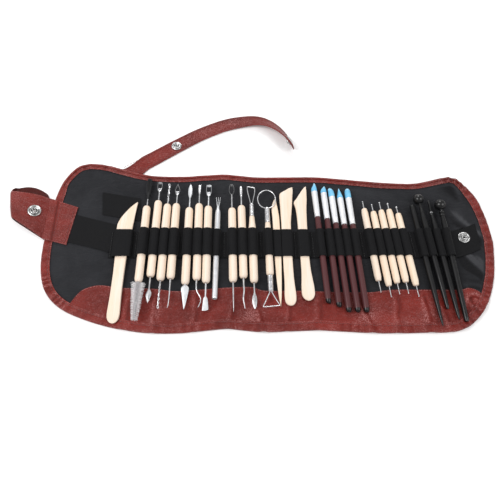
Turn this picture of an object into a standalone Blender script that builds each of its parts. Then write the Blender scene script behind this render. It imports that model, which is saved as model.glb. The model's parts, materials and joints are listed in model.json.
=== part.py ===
"""Roll-up case of clay shaping tools, opened out flat, with thirty tools in its elastic loops.

Frame: +X runs along the case to its right end, +Y to the edge that the tool tips point at, +Z up.
The origin is the middle of the case's underside, on the table. Design sizes are in millimetres.
"""

import math

import bmesh
import bpy
from mathutils import Matrix, Vector

MM = 0.001
GAP = 0.3  # air left between two pieces that touch on the real object

# Layers of the case, as heights above the table
COVER_THICK = 1.2
LINING_BOTTOM = COVER_THICK + GAP
LINING_TOP = LINING_BOTTOM + 0.6
RIM_TOP = 3.4
RIM_WIDTH = 10.0
POCKET_BOTTOM = LINING_TOP + GAP
POCKET_TOP = POCKET_BOTTOM + 1.0
TOOL_FLOOR = POCKET_TOP + 0.4  # lowest height of any tool

# Outline of the opened case, counter-clockwise from the middle of its left end
CASE_OUTLINE = [
    (-252, 8), (-250, -22), (-241, -49), (-223, -68), (-198, -80), (-165, -90), (-125, -96),
    (-85, -95.5), (-45, -91.5), (-5, -95), (50, -93), (110, -96), (160, -95.5), (195, -94),
    (216, -83), (234, -61), (246, -32), (252, 2), (252, 33), (246, 62), (234, 82), (220, 93),
    (202, 92), (172, 86), (120, 89), (60, 95), (-10, 95), (-50, 99), (-95, 96), (-135, 97),
    (-165, 104), (-195, 112), (-220, 111), (-235, 100), (-245, 80), (-250, 45),
]
FOLD_X = -181.0  # line across the case that its left end folds over at
FOLD_HEIGHT = 9.5

# Elastic band: one strip sewn down between the tools
BAND_Y = 5.0
BAND_HALF_WIDTH = 16.5
BAND_THICK = 0.8
BAND_LEFT = -177.0
BAND_RIGHT = 232.0
LOOP_CLEAR = 0.35

# Leather pocket along the near edge, as its far edge from left to right
POCKET_EDGE = [(-185, -43), (-140, -46), (-55, -48), (-20, -46), (0, -50), (110, -51), (210, -48), (260, -52)]

# Tab at the left end: ends of its root and of its rounded tip
TAB_ROOT_NEAR = (-252.8, 12.0)
TAB_ROOT_FAR = (-252.4, 64.0)
TAB_TIP_NEAR = (-292.0, 37.0)
TAB_TIP_FAR = (-301.0, 71.0)
TAB_THICK = 1.8
TAB_HEIGHT = 12.0
TAB_LIFT = 0.3

# Closing strap: middle line on the table, from its root on the case to its free end
STRAP_LINE = [
    (-160, 104.5), (-137, 121), (-110, 141), (-86, 157), (-67, 167), (-47, 175), (-27, 179),
    (-10, 179), (4, 173), (16, 162), (26, 148), (33, 133),
]
STRAP_WIDTH = 18.0
STRAP_THICK = 1.6
STRAP_TWIST_START = 0.45
STRAP_TWIST_DEG = 75.0

SNAP_RADIUS = 7.3

# Round handles
WOOD_RADIUS = 4.4
BORE_RADIUS = 1.5
CORE_RADIUS = 1.15
SHAPER_RADIUS = 3.35
STYLUS_RADIUS = 3.7
BLACK_RADIUS = 3.2


# ---------------------------------------------------------------- scene and materials

for old in list(bpy.data.objects):
    bpy.data.objects.remove(old, do_unlink=True)


def new_collection(name):
    made = bpy.data.collections.new(name)
    bpy.context.scene.collection.children.link(made)
    return made


PARTS = new_collection("clay_tool_roll")
CUTTERS = new_collection("cutters")


def material(name, colour, roughness, metallic=0.0):
    made = bpy.data.materials.new(name)
    made.use_nodes = True
    shader = made.node_tree.nodes["Principled BSDF"]
    shader.inputs["Base Color"].default_value = (*colour, 1.0)
    shader.inputs["Roughness"].default_value = roughness
    shader.inputs["Metallic"].default_value = metallic
    return made


LEATHER = material("oxblood_leather", (0.19, 0.030, 0.032), 0.55)
LINING = material("charcoal_lining", (0.028, 0.029, 0.035), 0.85)
ELASTIC = material("black_elastic", (0.012, 0.012, 0.014), 0.8)
WOOD = material("pale_wood", (0.82, 0.66, 0.43), 0.6)
STEEL = material("steel", (0.62, 0.62, 0.63), 0.28, 1.0)
SATIN = material("satin_ferrule", (0.80, 0.81, 0.83), 0.35, 0.9)
SILICONE = material("blue_silicone", (0.22, 0.55, 0.80), 0.5)
LACQUER = material("maroon_lacquer", (0.085, 0.028, 0.030), 0.3)
BLACK = material("black_plastic", (0.012, 0.012, 0.013), 0.4)


# ---------------------------------------------------------------- building blocks

def new_object(name, mesh, finish=None, parent=None):
    """Object for a sub-part, or for a cutter where it has no finish."""
    made = bpy.data.objects.new(name, mesh)
    if finish is None:
        CUTTERS.objects.link(made)
        made.hide_render = True
        made.display_type = "WIRE"
    else:
        PARTS.objects.link(made)
        mesh.materials.append(finish)
    if parent is not None:
        made.parent = parent
    return made


def mesh_from(name, bm, smooth=True):
    """Closed mesh with its faces pointing out, in metres."""
    bmesh.ops.recalc_face_normals(bm, faces=bm.faces)
    bmesh.ops.scale(bm, vec=(MM, MM, MM), verts=bm.verts)
    mesh = bpy.data.meshes.new(name)
    bm.to_mesh(mesh)
    bm.free()
    if smooth:
        mesh.shade_smooth()
        mesh.set_sharp_from_angle(angle=math.radians(35))
    return mesh


def loft(rings, smooth=True, name="loft"):
    """Closed body through rings of equally many points, with its first and last ring filled."""
    bm = bmesh.new()
    rows = [[bm.verts.new(point) for point in ring] for ring in rings]
    for upper, lower in zip(rows, rows[1:]):
        for i in range(len(upper)):
            j = (i + 1) % len(upper)
            bm.faces.new((upper[i], lower[i], lower[j], upper[j]))
    bm.faces.new(rows[0])
    bm.faces.new(list(reversed(rows[-1])))
    return mesh_from(name, bm, smooth)


def prism(outline, low, high):
    """Flat sheet with this outline between two heights."""
    return loft([[(x, y, z) for x, y in outline] for z in (high, low)], smooth=False)


def smooth_points(points, steps, closed=False):
    """Points on the Catmull-Rom curve through the given points."""
    points = [Vector(point) for point in points]
    count = len(points)
    spans = count if closed else count - 1
    made = []
    for i in range(spans):
        a = points[i - 1] if closed or i > 0 else points[0] * 2 - points[1]
        b = points[i]
        c = points[(i + 1) % count]
        d = points[(i + 2) % count] if closed or i + 2 < count else points[-1] * 2 - points[-2]
        for step in range(steps):
            t = step / steps
            made.append(0.5 * (2 * b + (c - a) * t + (2 * a - 5 * b + 4 * c - d) * t * t
                               + (3 * b - a - 3 * c + d) * t ** 3))
    if not closed:
        made.append(points[-1])
    return made


def inset(outline, distance):
    """The counter-clockwise outline moved inwards."""
    made = []
    for i, point in enumerate(outline):
        along = (outline[(i + 1) % len(outline)] - outline[i - 1]).normalized()
        made.append(point + Vector((-along.y, along.x)) * distance)
    return made


def boolean(body, other, operation):
    """Live boolean of a body with a cutter."""
    modifier = body.modifiers.new(operation.lower(), "BOOLEAN")
    modifier.operation = operation
    modifier.solver = "EXACT"
    modifier.object = other


def tool_axis(name, x, lean, height, pitch=0.0):
    """Empty at the middle of a tool's loop. Its Z axis runs along the tool, to its far end.

    Its X axis points sideways to the right and its Y axis down at the table.
    """
    lean = math.radians(lean)
    pitch = math.radians(pitch)
    along = Vector((math.sin(lean) * math.cos(pitch), math.cos(lean) * math.cos(pitch), math.sin(pitch)))
    side = Vector((math.cos(lean), -math.sin(lean), 0.0))
    down = along.cross(side)
    axis = bpy.data.objects.new(name + "_axis", None)
    PARTS.objects.link(axis)
    axis.matrix_world = Matrix.Translation(Vector((x, BAND_Y, height)) * MM) @ Matrix(
        (side, down, along)).transposed().to_4x4()
    return axis


def turned(name, profile, finish, parent, sides=12, closed=False):
    """Turned body. The profile is (radius, height) down the outer side, and a closed one is hollow."""
    bm = bmesh.new()
    row = [bm.verts.new((radius * MM, 0.0, along * MM)) for radius, along in profile]
    for a, b in zip(row, row[1:]):
        bm.edges.new((a, b))
    if closed:
        bm.edges.new((row[-1], row[0]))
    mesh = bpy.data.meshes.new(name)
    bm.to_mesh(mesh)
    bm.free()
    made = new_object(name, mesh, finish, parent)
    screw = made.modifiers.new("turn", "SCREW")
    screw.steps = sides
    screw.render_steps = sides
    screw.use_merge_vertices = True
    screw.merge_threshold = 0.00005
    screw.use_smooth_shade = True
    return made


def shaped(name, stations, finish, parent, sides=8, squareness=2.0):
    """Body through oval sections along the tool, from its far end to its near end.

    A station is (along, half width, half thickness, sideways, upwards). The last two may be left out,
    and so may the half thickness of a round section. Squareness 2 is an ellipse and 4 a rounded bar.
    """
    rings = []
    for station in stations:
        along, half_width = station[:2]
        half_thick = station[2] if len(station) > 2 else half_width
        sideways = station[3] if len(station) > 3 else 0.0
        upwards = station[4] if len(station) > 4 else 0.0
        ring = []
        for i in range(sides):
            turn = 2 * math.pi * (i + 0.5) / sides
            x = math.copysign(abs(math.cos(turn)) ** (2 / squareness), math.cos(turn))
            y = math.copysign(abs(math.sin(turn)) ** (2 / squareness), math.sin(turn))
            ring.append((sideways + x * half_width, y * half_thick - upwards, along))
        rings.append(ring)
    return new_object(name, loft(rings, name=name), finish, parent)


def add_wire(body, name, points, radius, closed=True):
    """Unites a bent wire with a body that it is brazed to. Points are (sideways, upwards, along)."""
    curve = bpy.data.curves.new(name, "CURVE")
    curve.dimensions = "3D"
    curve.bevel_depth = radius * MM
    curve.bevel_resolution = 1
    curve.use_fill_caps = True
    spline = curve.splines.new("POLY")
    spline.points.add(len(points) - 1)
    for target, (sideways, upwards, along) in zip(spline.points, points):
        target.co = (sideways * MM, -upwards * MM, along * MM, 1.0)
    spline.use_cyclic_u = closed
    bent = bpy.data.objects.new(name, curve)
    PARTS.objects.link(bent)
    bpy.context.view_layer.update()
    mesh = bpy.data.meshes.new_from_object(bent.evaluated_get(bpy.context.evaluated_depsgraph_get()))
    bpy.data.objects.remove(bent)
    welded = bmesh.new()
    welded.from_mesh(mesh)
    bmesh.ops.remove_doubles(welded, verts=welded.verts, dist=0.00001)
    welded.to_mesh(mesh)
    welded.free()
    mesh.materials.clear()
    boolean(body, new_object(name, mesh, None, body.parent), "UNION")


def bored_handle(name, far, near, radius, parent, neck=0.0):
    """Wooden dowel with rounded ends and a bore right through for the steel."""
    profile = [
        (2.4, far), (radius - 0.7, far - 0.9), (radius, far - 3.2), (radius, near + 3.2),
        (radius - 0.7, near + 0.9), (2.4, near), (BORE_RADIUS, near), (BORE_RADIUS, far),
    ]
    if neck:
        profile[0:3] = [(2.7, far), (3.3, far - 8.0), (radius, far - neck)]
    return turned(name, profile, WOOD, parent, sides=12, closed=True)


# ---------------------------------------------------------------- case

OUTLINE = smooth_points(CASE_OUTLINE, 2, closed=True)
LONG = 400.0


def tray(name, floor, finish):
    """Leather sheet in the case's outline, with its edge turned over into a raised rim."""
    levels = [
        (0.6, 0.0), (0.0, 0.7), (0.0, RIM_TOP - 0.7), (0.7, RIM_TOP), (RIM_WIDTH - 0.5, RIM_TOP),
        (RIM_WIDTH, RIM_TOP - 0.5), (RIM_WIDTH, floor),
    ]
    rings = [[(*point, height) for point in inset(OUTLINE, inward)] for inward, height in levels]
    return new_object(name, loft(rings, name=name), finish)


def half_space(name, left, right):
    return new_object(name, prism([(left, -LONG), (right, -LONG), (right, LONG), (left, LONG)], -20, 40))


left_of_fold = half_space("left_of_fold", -LONG, FOLD_X + GAP / 2)
right_of_fold = half_space("right_of_fold", FOLD_X - GAP / 2, LONG)

outer_cover = tray("outer_cover", COVER_THICK, LEATHER)
boolean(outer_cover, left_of_fold, "DIFFERENCE")

# The left end is one stitched laminate of leather and lining, which folds as one piece
fold_axis = bpy.data.objects.new("fold_axis", None)
PARTS.objects.link(fold_axis)
fold_axis.location = (FOLD_X * MM, 0.0, FOLD_HEIGHT * MM)
bpy.context.view_layer.update()
end_flap = tray("end_flap", LINING_TOP, LEATHER)
end_flap.parent = fold_axis
end_flap.matrix_parent_inverse = fold_axis.matrix_world.inverted()
boolean(end_flap, right_of_fold, "DIFFERENCE")

lining = new_object("lining", prism(inset(OUTLINE, RIM_WIDTH + GAP), LINING_BOTTOM, LINING_TOP), LINING)
boolean(lining, left_of_fold, "DIFFERENCE")

lower_pocket = new_object(
    "lower_pocket", prism(inset(OUTLINE, RIM_WIDTH + GAP), POCKET_BOTTOM, POCKET_TOP), LEATHER)
pocket_far_edge = [tuple(point) for point in smooth_points(POCKET_EDGE, 3)]
pocket_shape = new_object(
    "pocket_shape", prism([(LONG, -150), *reversed(pocket_far_edge), (-185, -150)], -5, 20))
boolean(lower_pocket, pocket_shape, "INTERSECT")
boolean(lower_pocket, left_of_fold, "DIFFERENCE")


# ---------------------------------------------------------------- elastic band

class Loop:
    """One loop of the elastic: the arch that it makes over a tool."""

    def __init__(self, x, lean, height, half_width, rise, squareness=2.0):
        self.x = x
        self.slope = math.tan(math.radians(lean))
        self.height = height
        self.half_width = half_width
        self.rise = rise
        self.squareness = squareness

    def arch(self, grow, steps=8):
        """(x, z) of the arch from left to right, grown outwards."""
        made = []
        for i in range(steps + 1):
            turn = math.pi * (1 - i / steps)
            across = math.copysign(abs(math.cos(turn)) ** (2 / self.squareness), math.cos(turn))
            up = abs(math.sin(turn)) ** (2 / self.squareness)
            made.append((self.x + across * (self.half_width + grow), self.height + up * (self.rise + grow)))
        return made

    def outer_height(self, x):
        """Height of the outer face of the arch above a place inside it."""
        across = min(1.0, abs(x - self.x) / (self.half_width + BAND_THICK))
        share = (1 - across ** self.squareness) ** (1 / self.squareness)
        return self.height + share * (self.rise + BAND_THICK)


def round_loop(x, lean, height, radius, extra=0.0):
    return Loop(x, lean, height, radius + LOOP_CLEAR, radius + LOOP_CLEAR + extra)


def band_profile(loops):
    """Section along the band as (x, z, slope): its upper face, then its underside back again."""
    upper = [(BAND_LEFT, POCKET_TOP, 0.0)]
    for i, loop in enumerate(loops):
        reach = loop.half_width + BAND_THICK
        left = loops[i - 1] if i else None
        right = loops[i + 1] if i + 1 < len(loops) else None
        meets_left = left and loop.x - reach < left.x + left.half_width + BAND_THICK + GAP
        meets_right = right and loop.x + reach > right.x - right.half_width - BAND_THICK - GAP
        low = (left.x + left.half_width + loop.x - loop.half_width) / 2 if meets_left else loop.x - reach
        high = (right.x - right.half_width + loop.x + loop.half_width) / 2 if meets_right else loop.x + reach
        if not meets_left:
            upper.append((low, POCKET_TOP, loop.slope))
        inside = [point for point in loop.arch(BAND_THICK) if low + 0.4 < point[0] < high - 0.4]
        if not meets_left:
            upper.append((low, loop.height, loop.slope))
        upper += [(x, z, loop.slope) for x, z in inside]
        if meets_right:
            valley = min(loop.outer_height(high), right.outer_height(high))
            upper.append((high, valley, (loop.slope + right.slope) / 2))
        else:
            upper.append((high, loop.height, loop.slope))
            upper.append((high, POCKET_TOP, loop.slope))
    upper.append((BAND_RIGHT, POCKET_TOP, 0.0))
    under = [(BAND_RIGHT, POCKET_BOTTOM, 0.0)]
    for loop in reversed(loops):
        notch = loop.arch(0.0)
        under.append((notch[-1][0], POCKET_BOTTOM, loop.slope))
        under += [(x, z, loop.slope) for x, z in reversed(notch)]
        under.append((notch[0][0], POCKET_BOTTOM, loop.slope))
    under.append((BAND_LEFT, POCKET_BOTTOM, 0.0))
    return upper + under


def elastic_band(loops):
    profile = band_profile(loops)
    rings = [
        [(x + slope * away, BAND_Y + away, z) for x, z, slope in profile]
        for away in (-BAND_HALF_WIDTH, BAND_HALF_WIDTH)
    ]
    new_object("elastic_band", loft(rings, smooth=False, name="elastic_band"), ELASTIC)


LOOPS = []


# ---------------------------------------------------------------- tools with a bored wooden handle

def double_ended(name, x, lean, far, near, stations, pitch=0.0, height=None, neck=0.0, radius=WOOD_RADIUS):
    """Wooden handle with one steel through it. Returns the steel, which wire loops are added to.

    The stations are the steel's far end, then its near end, each outside the handle.
    """
    height = TOOL_FLOOR + WOOD_RADIUS + 0.2 if height is None else height
    axis = tool_axis(name, x, lean, height, pitch)
    bored_handle(name + "_handle", far, near, radius, axis, neck)
    far_stations, near_stations = stations
    inside = [(far - 1.0, CORE_RADIUS), (near + 1.0, CORE_RADIUS)]
    steel = shaped(name + "_steel", far_stations + inside + near_stations, STEEL, axis)
    LOOPS.append(round_loop(x, lean, height, radius, extra=0.8 if pitch else 0.0))
    return steel


def ring_points(middle, half_width, half_length, count, squareness=2.0):
    """(sideways, upwards, along) points of a flat wire ring in the plane of the tool."""
    made = []
    for i in range(count):
        turn = 2 * math.pi * i / count
        x = math.copysign(abs(math.cos(turn)) ** (2 / squareness), math.cos(turn))
        y = math.copysign(abs(math.sin(turn)) ** (2 / squareness), math.sin(turn))
        made.append((x * half_width, 0.0, middle + y * half_length))
    return made


def wooden_knife():
    """One flat piece of wood: a curved blade at the far end and a paddle at the near end."""
    x, lean, thick = -162.0, 0.5, 2.0
    height = TOOL_FLOOR + thick
    axis = tool_axis("wooden_knife", x, lean, height)
    shaped("wooden_knife", [
        (52, 0.5, 0.5, 11.0), (48, 3.6, 0.9, 7.4), (42, 6.6, 1.2, 4.0), (35, 8.2, 1.5, 1.7),
        (26, 9.1, 1.7, 0.2), (14, 8.4, 1.8), (-2, 7.0, 1.9), (-18, 6.2, thick), (-50, 5.8, thick),
        (-72, 6.3, thick), (-82, 6.7, thick), (-88, 5.4, 1.8), (-91.5, 2.6, 1.2),
    ], WOOD, axis, sides=10, squareness=3.2)
    LOOPS.append(Loop(x, lean, height, 10.2, thick + LOOP_CLEAR + 0.3, squareness=4.0))


def wire_brush_tool():
    double_ended("wire_brush", -138.6, 0.0, 46.7, -48.0, (
        [(86, 2.0, 1.6), (78, 2.8, 2.0), (68, 2.4, 1.9), (58, 1.2), (53, 0.7), (47, 0.7)],
        [(-48.6, 1.2), (-49, 6.8), (-52, 7.5), (-60, 6.2), (-75, 4.6), (-88, 2.9), (-91, 1.6)],
    ), pitch=-2.4, height=9.7)


def diamond_blade_tool():
    steel = double_ended("diamond_blade", -126.5, 0.8, 53.5, -41.0, (
        [(69.5, 1.2, 0.5), (67.5, 1.6, 0.6), (62, 0.9), (53.8, 1.1)],
        [(-41.5, 1.1), (-54, 0.9), (-55, 1.4, 0.6), (-59.5, 2.8, 0.7), (-64, 2.2, 0.6), (-70, 0.4, 0.3)],
    ))
    add_wire(steel, "small_square_loop", ring_points(73.5, 2.6, 4.6, 12, 4.0), 0.55)


def twisted_wire_tool():
    double_ended("twisted_wire", -115.5, 0.7, 49.0, -45.2, (
        [(76.5, 0.6), (72, 0.95), (49.4, 0.95)],
        [(-45.6, 0.95), (-70, 0.95), (-75.5, 0.6)],
    ))


def hooked_needle_tool():
    steel = double_ended("hooked_needle", -105.0, 0.4, 49.5, -43.3, (
        [(66, 1.2, 0.6), (63.5, 1.9, 1.0), (60, 1.1), (50, 1.1)],
        [(-43.7, 1.1), (-60, 0.9, 0.9, 0.2), (-68, 0.7, 0.7, -0.1), (-73, 0.6, 0.6, -1.0), (-75.4, 0.4, 0.4, -2.0)],
    ))
    add_wire(steel, "pointed_loop", [
        (0, 0, 63), (2.4, 0, 66), (2.5, 0, 69), (0, 0, 75), (-2.5, 0, 69), (-2.4, 0, 66),
    ], 0.5)


def spear_spatula_tool():
    double_ended("spear_spatula", -89.4, -0.2, 44.2, -49.6, (
        [(76, 0.6, 0.3), (73, 1.8, 0.45), (67, 2.3, 0.5), (61, 1.8, 0.5), (57, 0.9), (44.6, 1.0)],
        [(-50, 1.2), (-52, 3.2, 0.9), (-54, 4.2, 0.8), (-66, 2.4, 0.6), (-77, 0.3, 0.3)],
    ))


def bent_hook_tool():
    double_ended("bent_hook", -77.9, -0.8, 49.5, -44.6, (
        [(75.2, 1.4, 0.3), (68, 1.5, 0.5), (63, 0.9), (50, 0.9)],
        [(-45, 0.9), (-53, 0.9, 0.9, -0.2), (-57, 0.85, 0.85, 0.8), (-62, 0.8, 0.8, 3.6),
         (-66, 0.8, 0.8, 5.0), (-69, 0.7, 0.7, 4.9), (-75, 0.4, 0.4, 2.4)],
    ))


def square_scraper_tool():
    steel = double_ended("square_scraper", -67.5, -0.4, 46.3, -47.8, (
        [(65, 2.2, 0.6), (61, 1.8, 0.9), (58, 0.9), (46.6, 0.9)],
        [(-48.2, 0.9), (-63, 0.9), (-65, 2.1, 0.5), (-77, 3.2, 0.4), (-78.7, 3.0, 0.3)],
    ))
    add_wire(steel, "square_loop", ring_points(69, 2.8, 5.0, 12, 5.0), 0.6)


def spoon_needle_tool():
    steel = double_ended("spoon_needle", -39.4, -1.7, 43.8, -46.8, (
        [(62.5, 1.4, 0.6), (58, 0.9), (44.2, 0.9)],
        [(-47.2, 0.9), (-65, 0.8), (-79.8, 0.25)],
    ))
    add_wire(steel, "oval_loop", ring_points(68.5, 2.7, 6.5, 14), 0.6)


def bent_rod_tool():
    double_ended("bent_rod", -28.3, -1.9, 47.0, -42.4, (
        [(73.5, 1.0, 0.4), (66, 1.5, 0.5), (58, 1.1), (47.4, 1.0)],
        [(-42.8, 1.0), (-55, 0.9, 0.9, 0.2), (-64, 0.8, 0.8, -0.6), (-76.3, 0.4, 0.4, 0.6)],
    ))


def leaf_blade_tool():
    steel = double_ended("leaf_blade", -16.9, -1.6, 33.0, -47.5, (
        [(50, 1.9, 1.9), (49, 2.5), (33.3, 2.7), (33.25, CORE_RADIUS)],
        [(-47.9, 0.9), (-59, 0.9), (-61, 1.5, 0.6), (-67, 2.6, 0.7), (-72, 2.2, 0.6), (-76.8, 0.4, 0.3)],
    ), neck=16.0)
    add_wire(steel, "trapezoid_loop", [
        (0.9, 0, 46), (1.6, 0, 53), (3.6, 0, 62), (4.2, 0, 70.5), (-4.2, 0, 72.6), (-4.3, 0, 68),
        (-1.6, 0, 54), (-0.9, 0, 46),
    ], 0.5)


def ribbon_loop_tool():
    """Steel wire loops in a ferrule at each end: a ring far, a triangle near."""
    radius = 4.0
    steel = double_ended("ribbon_loop", 0.6, -1.5, 25.0, -39.0, (
        [(45, 2.2), (44, 2.8), (25.3, 3.0), (25.25, CORE_RADIUS)],
        [(-39.25, CORE_RADIUS), (-39.3, 3.0), (-57, 2.8), (-58, 2.0)],
    ), neck=12.0, radius=radius)
    add_wire(steel, "ring", ring_points(56.0, 10.3, 12.0, 24), 0.6)
    add_wire(steel, "triangle", [
        (0.9, 0, -54), (1.4, 0, -59.5), (8.2, 0, -72), (7.6, 0, -73.3), (-7.6, 0, -74.3), (-8.2, 0, -73),
        (-1.4, 0, -59.5), (-0.9, 0, -54),
    ], 0.6)


def tube_fork_tool():
    """Metal tube, open at its near end, with a three-pronged fork brazed in its far end."""
    x, lean, radius = -57.0, 0.3, 3.1
    height = TOOL_FLOOR + radius + 0.2
    axis = tool_axis("tube_fork", x, lean, height)
    tube = turned("tube_fork", [
        (0, 46), (1.5, 46), (1.8, 43), (radius, 39), (radius, 0), (2.7, -65), (2.1, -65), (2.1, 30), (0, 32),
    ], STEEL, axis, sides=12)
    for prong, spread in enumerate((-2.2, 0.0, 2.2), start=1):
        add_wire(tube, f"prong_{prong}", [(spread * 0.25, 0, 43), (spread * 0.7, 0, 50), (spread, 0, 59)],
                 0.45, closed=False)
    LOOPS.append(round_loop(x, lean, height, radius))


# ---------------------------------------------------------------- wooden modelling sticks

def wooden_stick(name, x, lean, thick, half_width, stations):
    height = TOOL_FLOOR + thick
    shaped(name, stations, WOOD, tool_axis(name, x, lean, height), sides=10, squareness=3.2)
    LOOPS.append(Loop(x, lean, height, half_width + 0.45, thick + LOOP_CLEAR + 0.3, squareness=4.0))


def wooden_sticks():
    wooden_stick("pointed_stick", 10.4, -1.4, 1.7, 3.9, [
        (58.3, 0.4, 0.4, 0.4), (54, 1.7, 0.8, -0.3), (47, 3.2, 1.1, -0.9), (40, 3.8, 1.3, -0.8), (28, 3.9, 1.5),
        (0, 3.9, 1.7), (-20, 3.6, 1.7), (-45, 2.6, 1.7), (-64, 1.4, 1.3), (-73.2, 0.35, 0.35, 0.3)])
    wooden_stick("slanted_stick", 21.2, -0.8, 2.1, 5.2, [
        (73, 0.5, 0.5, 9.2), (70, 3.4, 0.9, 6.6), (66, 7.0, 1.2, 2.6), (63, 7.6, 1.4, 1.6), (52, 7.2, 1.6, 1.2),
        (38, 6.2, 1.8, 0.6), (24, 5.4, 2.0), (10, 5.2, 2.1), (-20, 5.2, 2.1), (-44, 5.2, 2.1, 0.4),
        (-58, 6.0, 2.0, 0.8), (-66, 6.4, 1.8, 0.8), (-70, 4.6, 1.4, 0.8), (-72.2, 2.4, 0.9, 0.8)])
    wooden_stick("hooked_stick", 39.9, -1.4, 2.1, 5.2, [
        (74, 0.4, 0.5, 7.4), (68, 2.9, 0.9, 4.8), (60, 5.6, 1.3, 1.8), (53, 7.4, 1.5, -0.4), (49, 7.0, 1.6, -0.3),
        (38, 5.9, 1.8), (24, 5.3, 2.0), (8, 5.2, 2.1), (-18, 4.9, 2.1), (-31, 5.1, 2.1, 0.2),
        (-46, 6.3, 2.0, 0.6), (-58, 7.0, 1.8, 0.8), (-63, 5.4, 1.5, 0.8), (-66.6, 2.4, 0.9, 0.8)])


# ---------------------------------------------------------------- silicone shapers

def shaper(name, x, lean, ferrule_near, ferrule_far, near, tip, end):
    """Lacquered handle, satin ferrule and silicone tip, each plugged into the next."""
    height = TOOL_FLOOR + SHAPER_RADIUS + 0.1
    axis = tool_axis(name, x, lean, height)
    shaped(name + "_handle", [
        (ferrule_near + 11, 2.2), (ferrule_near + 0.3, 2.2), (ferrule_near - GAP, 2.2),
        (ferrule_near - GAP, 3.0), (ferrule_near - 12, SHAPER_RADIUS), (near + 14, SHAPER_RADIUS),
        *[(near + away, *rest) for away, *rest in end],
    ], LACQUER, axis, sides=10)
    turned(name + "_ferrule", [
        (3.5, ferrule_far), (3.4, ferrule_far - 12), (3.1, ferrule_near), (2.6, ferrule_near),
        (2.6, ferrule_far - 12), (2.9, ferrule_far),
    ], SATIN, axis, sides=12, closed=True)
    root = ferrule_far + GAP
    shaped(name + "_tip", [(root + away, *rest) for away, *rest in tip] + [
        (root, 3.4, 3.2), (root, 2.4), (root - 8, 2.2),
    ], SILICONE, axis, sides=10)
    LOOPS.append(round_loop(x, lean, height, SHAPER_RADIUS))


ROUND_END = [(3.0, 3.1), (1.2, 2.4), (0.2, 1.2)]
SLANT_END = [(3.4, 3.1), (1.2, 2.5, 2.0, 0.5), (0.2, 1.2, 0.9, 1.0)]


def shapers():
    shaper("chisel_shaper", 58.9, -3.2, 33.0, 66.5, -71.0, [
        (11.5, 0.5, 0.4, 0.8), (8, 1.9, 0.9, 0.7), (4, 3.2, 1.9, 0.0)], SLANT_END)
    shaper("angle_shaper", 69.5, -3.1, 30.5, 64.5, -75.0, [
        (9, 0.6, 0.6, 1.0), (6, 2.3, 1.4, 0.2), (3.5, 3.3, 2.4, -0.1)], SLANT_END)
    shaper("cup_shaper", 78.7, -3.4, 25.0, 59.5, -80.5, [
        (11.6, 1.5, 1.0, -1.4), (9.5, 2.7, 1.9, -0.6), (5, 3.4, 2.8, -0.1)], ROUND_END)
    shaper("cone_shaper", 88.1, -3.4, 23.3, 57.7, -80.5, [
        (13, 0.4), (9, 1.3), (4.5, 2.5)], ROUND_END)
    shaper("round_shaper", 97.6, -3.2, 23.5, 57.6, -80.5, [
        (12.8, 1.4), (11.2, 2.6), (8, 3.3), (4, 3.4, 3.3)], ROUND_END)


# ---------------------------------------------------------------- ball styli and black tools

def ball_stylus(number, x, lean, far_tip, far, near, near_tip, ball):
    """Wooden handle with a steel ball point at each end, of two sizes."""
    height = TOOL_FLOOR + STYLUS_RADIUS + 0.1
    axis = tool_axis(f"ball_stylus_{number}", x, lean, height)
    small = 0.55
    shaped(f"ball_stylus_{number}", [
        (far_tip, ball * 0.5), (far_tip - 0.8, ball), (far_tip - 1.8, ball * 0.8), (far_tip - 2.8, 0.55),
        (far + 0.6, 0.7), (far, 0.8), (far - 0.2, 2.0), (far - 2.0, 3.1), (far - 5.0, STYLUS_RADIUS),
        (near + 5.0, STYLUS_RADIUS), (near + 1.4, 3.2), (near, 2.2), (near - 0.2, 0.8),
        (near_tip + 2.4, 0.55), (near_tip + 1.2, small * 1.2), (near_tip, small),
    ], WOOD, axis, sides=10)
    LOOPS.append(round_loop(x, lean, height, STYLUS_RADIUS))


def ball_styli():
    ball_stylus(1, 114.4, -4.5, 54.0, 43.7, -45.4, -58.5, 0.7)
    ball_stylus(2, 124.3, -4.6, 50.2, 40.1, -51.4, -63.9, 0.8)
    ball_stylus(3, 133.7, -4.7, 52.8, 41.9, -48.1, -60.6, 0.9)
    ball_stylus(4, 143.1, -4.9, 51.5, 42.9, -47.0, -60.0, 1.1)
    ball_stylus(5, 152.7, -5.4, 47.0, 37.6, -50.9, -63.4, 1.3)


def black_tool(name, x, lean, stations, raised=0.0, pitch=0.0):
    """Black rod. One with a ball end lies on its ball, so it is raised and pitched up a little."""
    height = TOOL_FLOOR + BLACK_RADIUS + 0.1 + raised
    shaped(name, stations, BLACK, tool_axis(name, x, lean, height, pitch), sides=10)
    LOOPS.append(round_loop(x, lean, height, BLACK_RADIUS, extra=0.6 if pitch else 0.0))


def ball_stations(middle, radius, neck):
    """Sections of a ball from its far side down to its neck."""
    low = -math.sqrt(radius ** 2 - neck ** 2)
    count = 7
    made = []
    for i in range(count):
        turn = math.pi * (0.46 - i / (count - 1) * 0.46) if i else math.pi * 0.44
        made.append((middle + radius * math.sin(turn), radius * math.cos(turn)))
    for i in range(1, 5):
        depth = low * i / 5
        made.append((middle + depth, math.sqrt(radius ** 2 - depth ** 2)))
    return made


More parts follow.
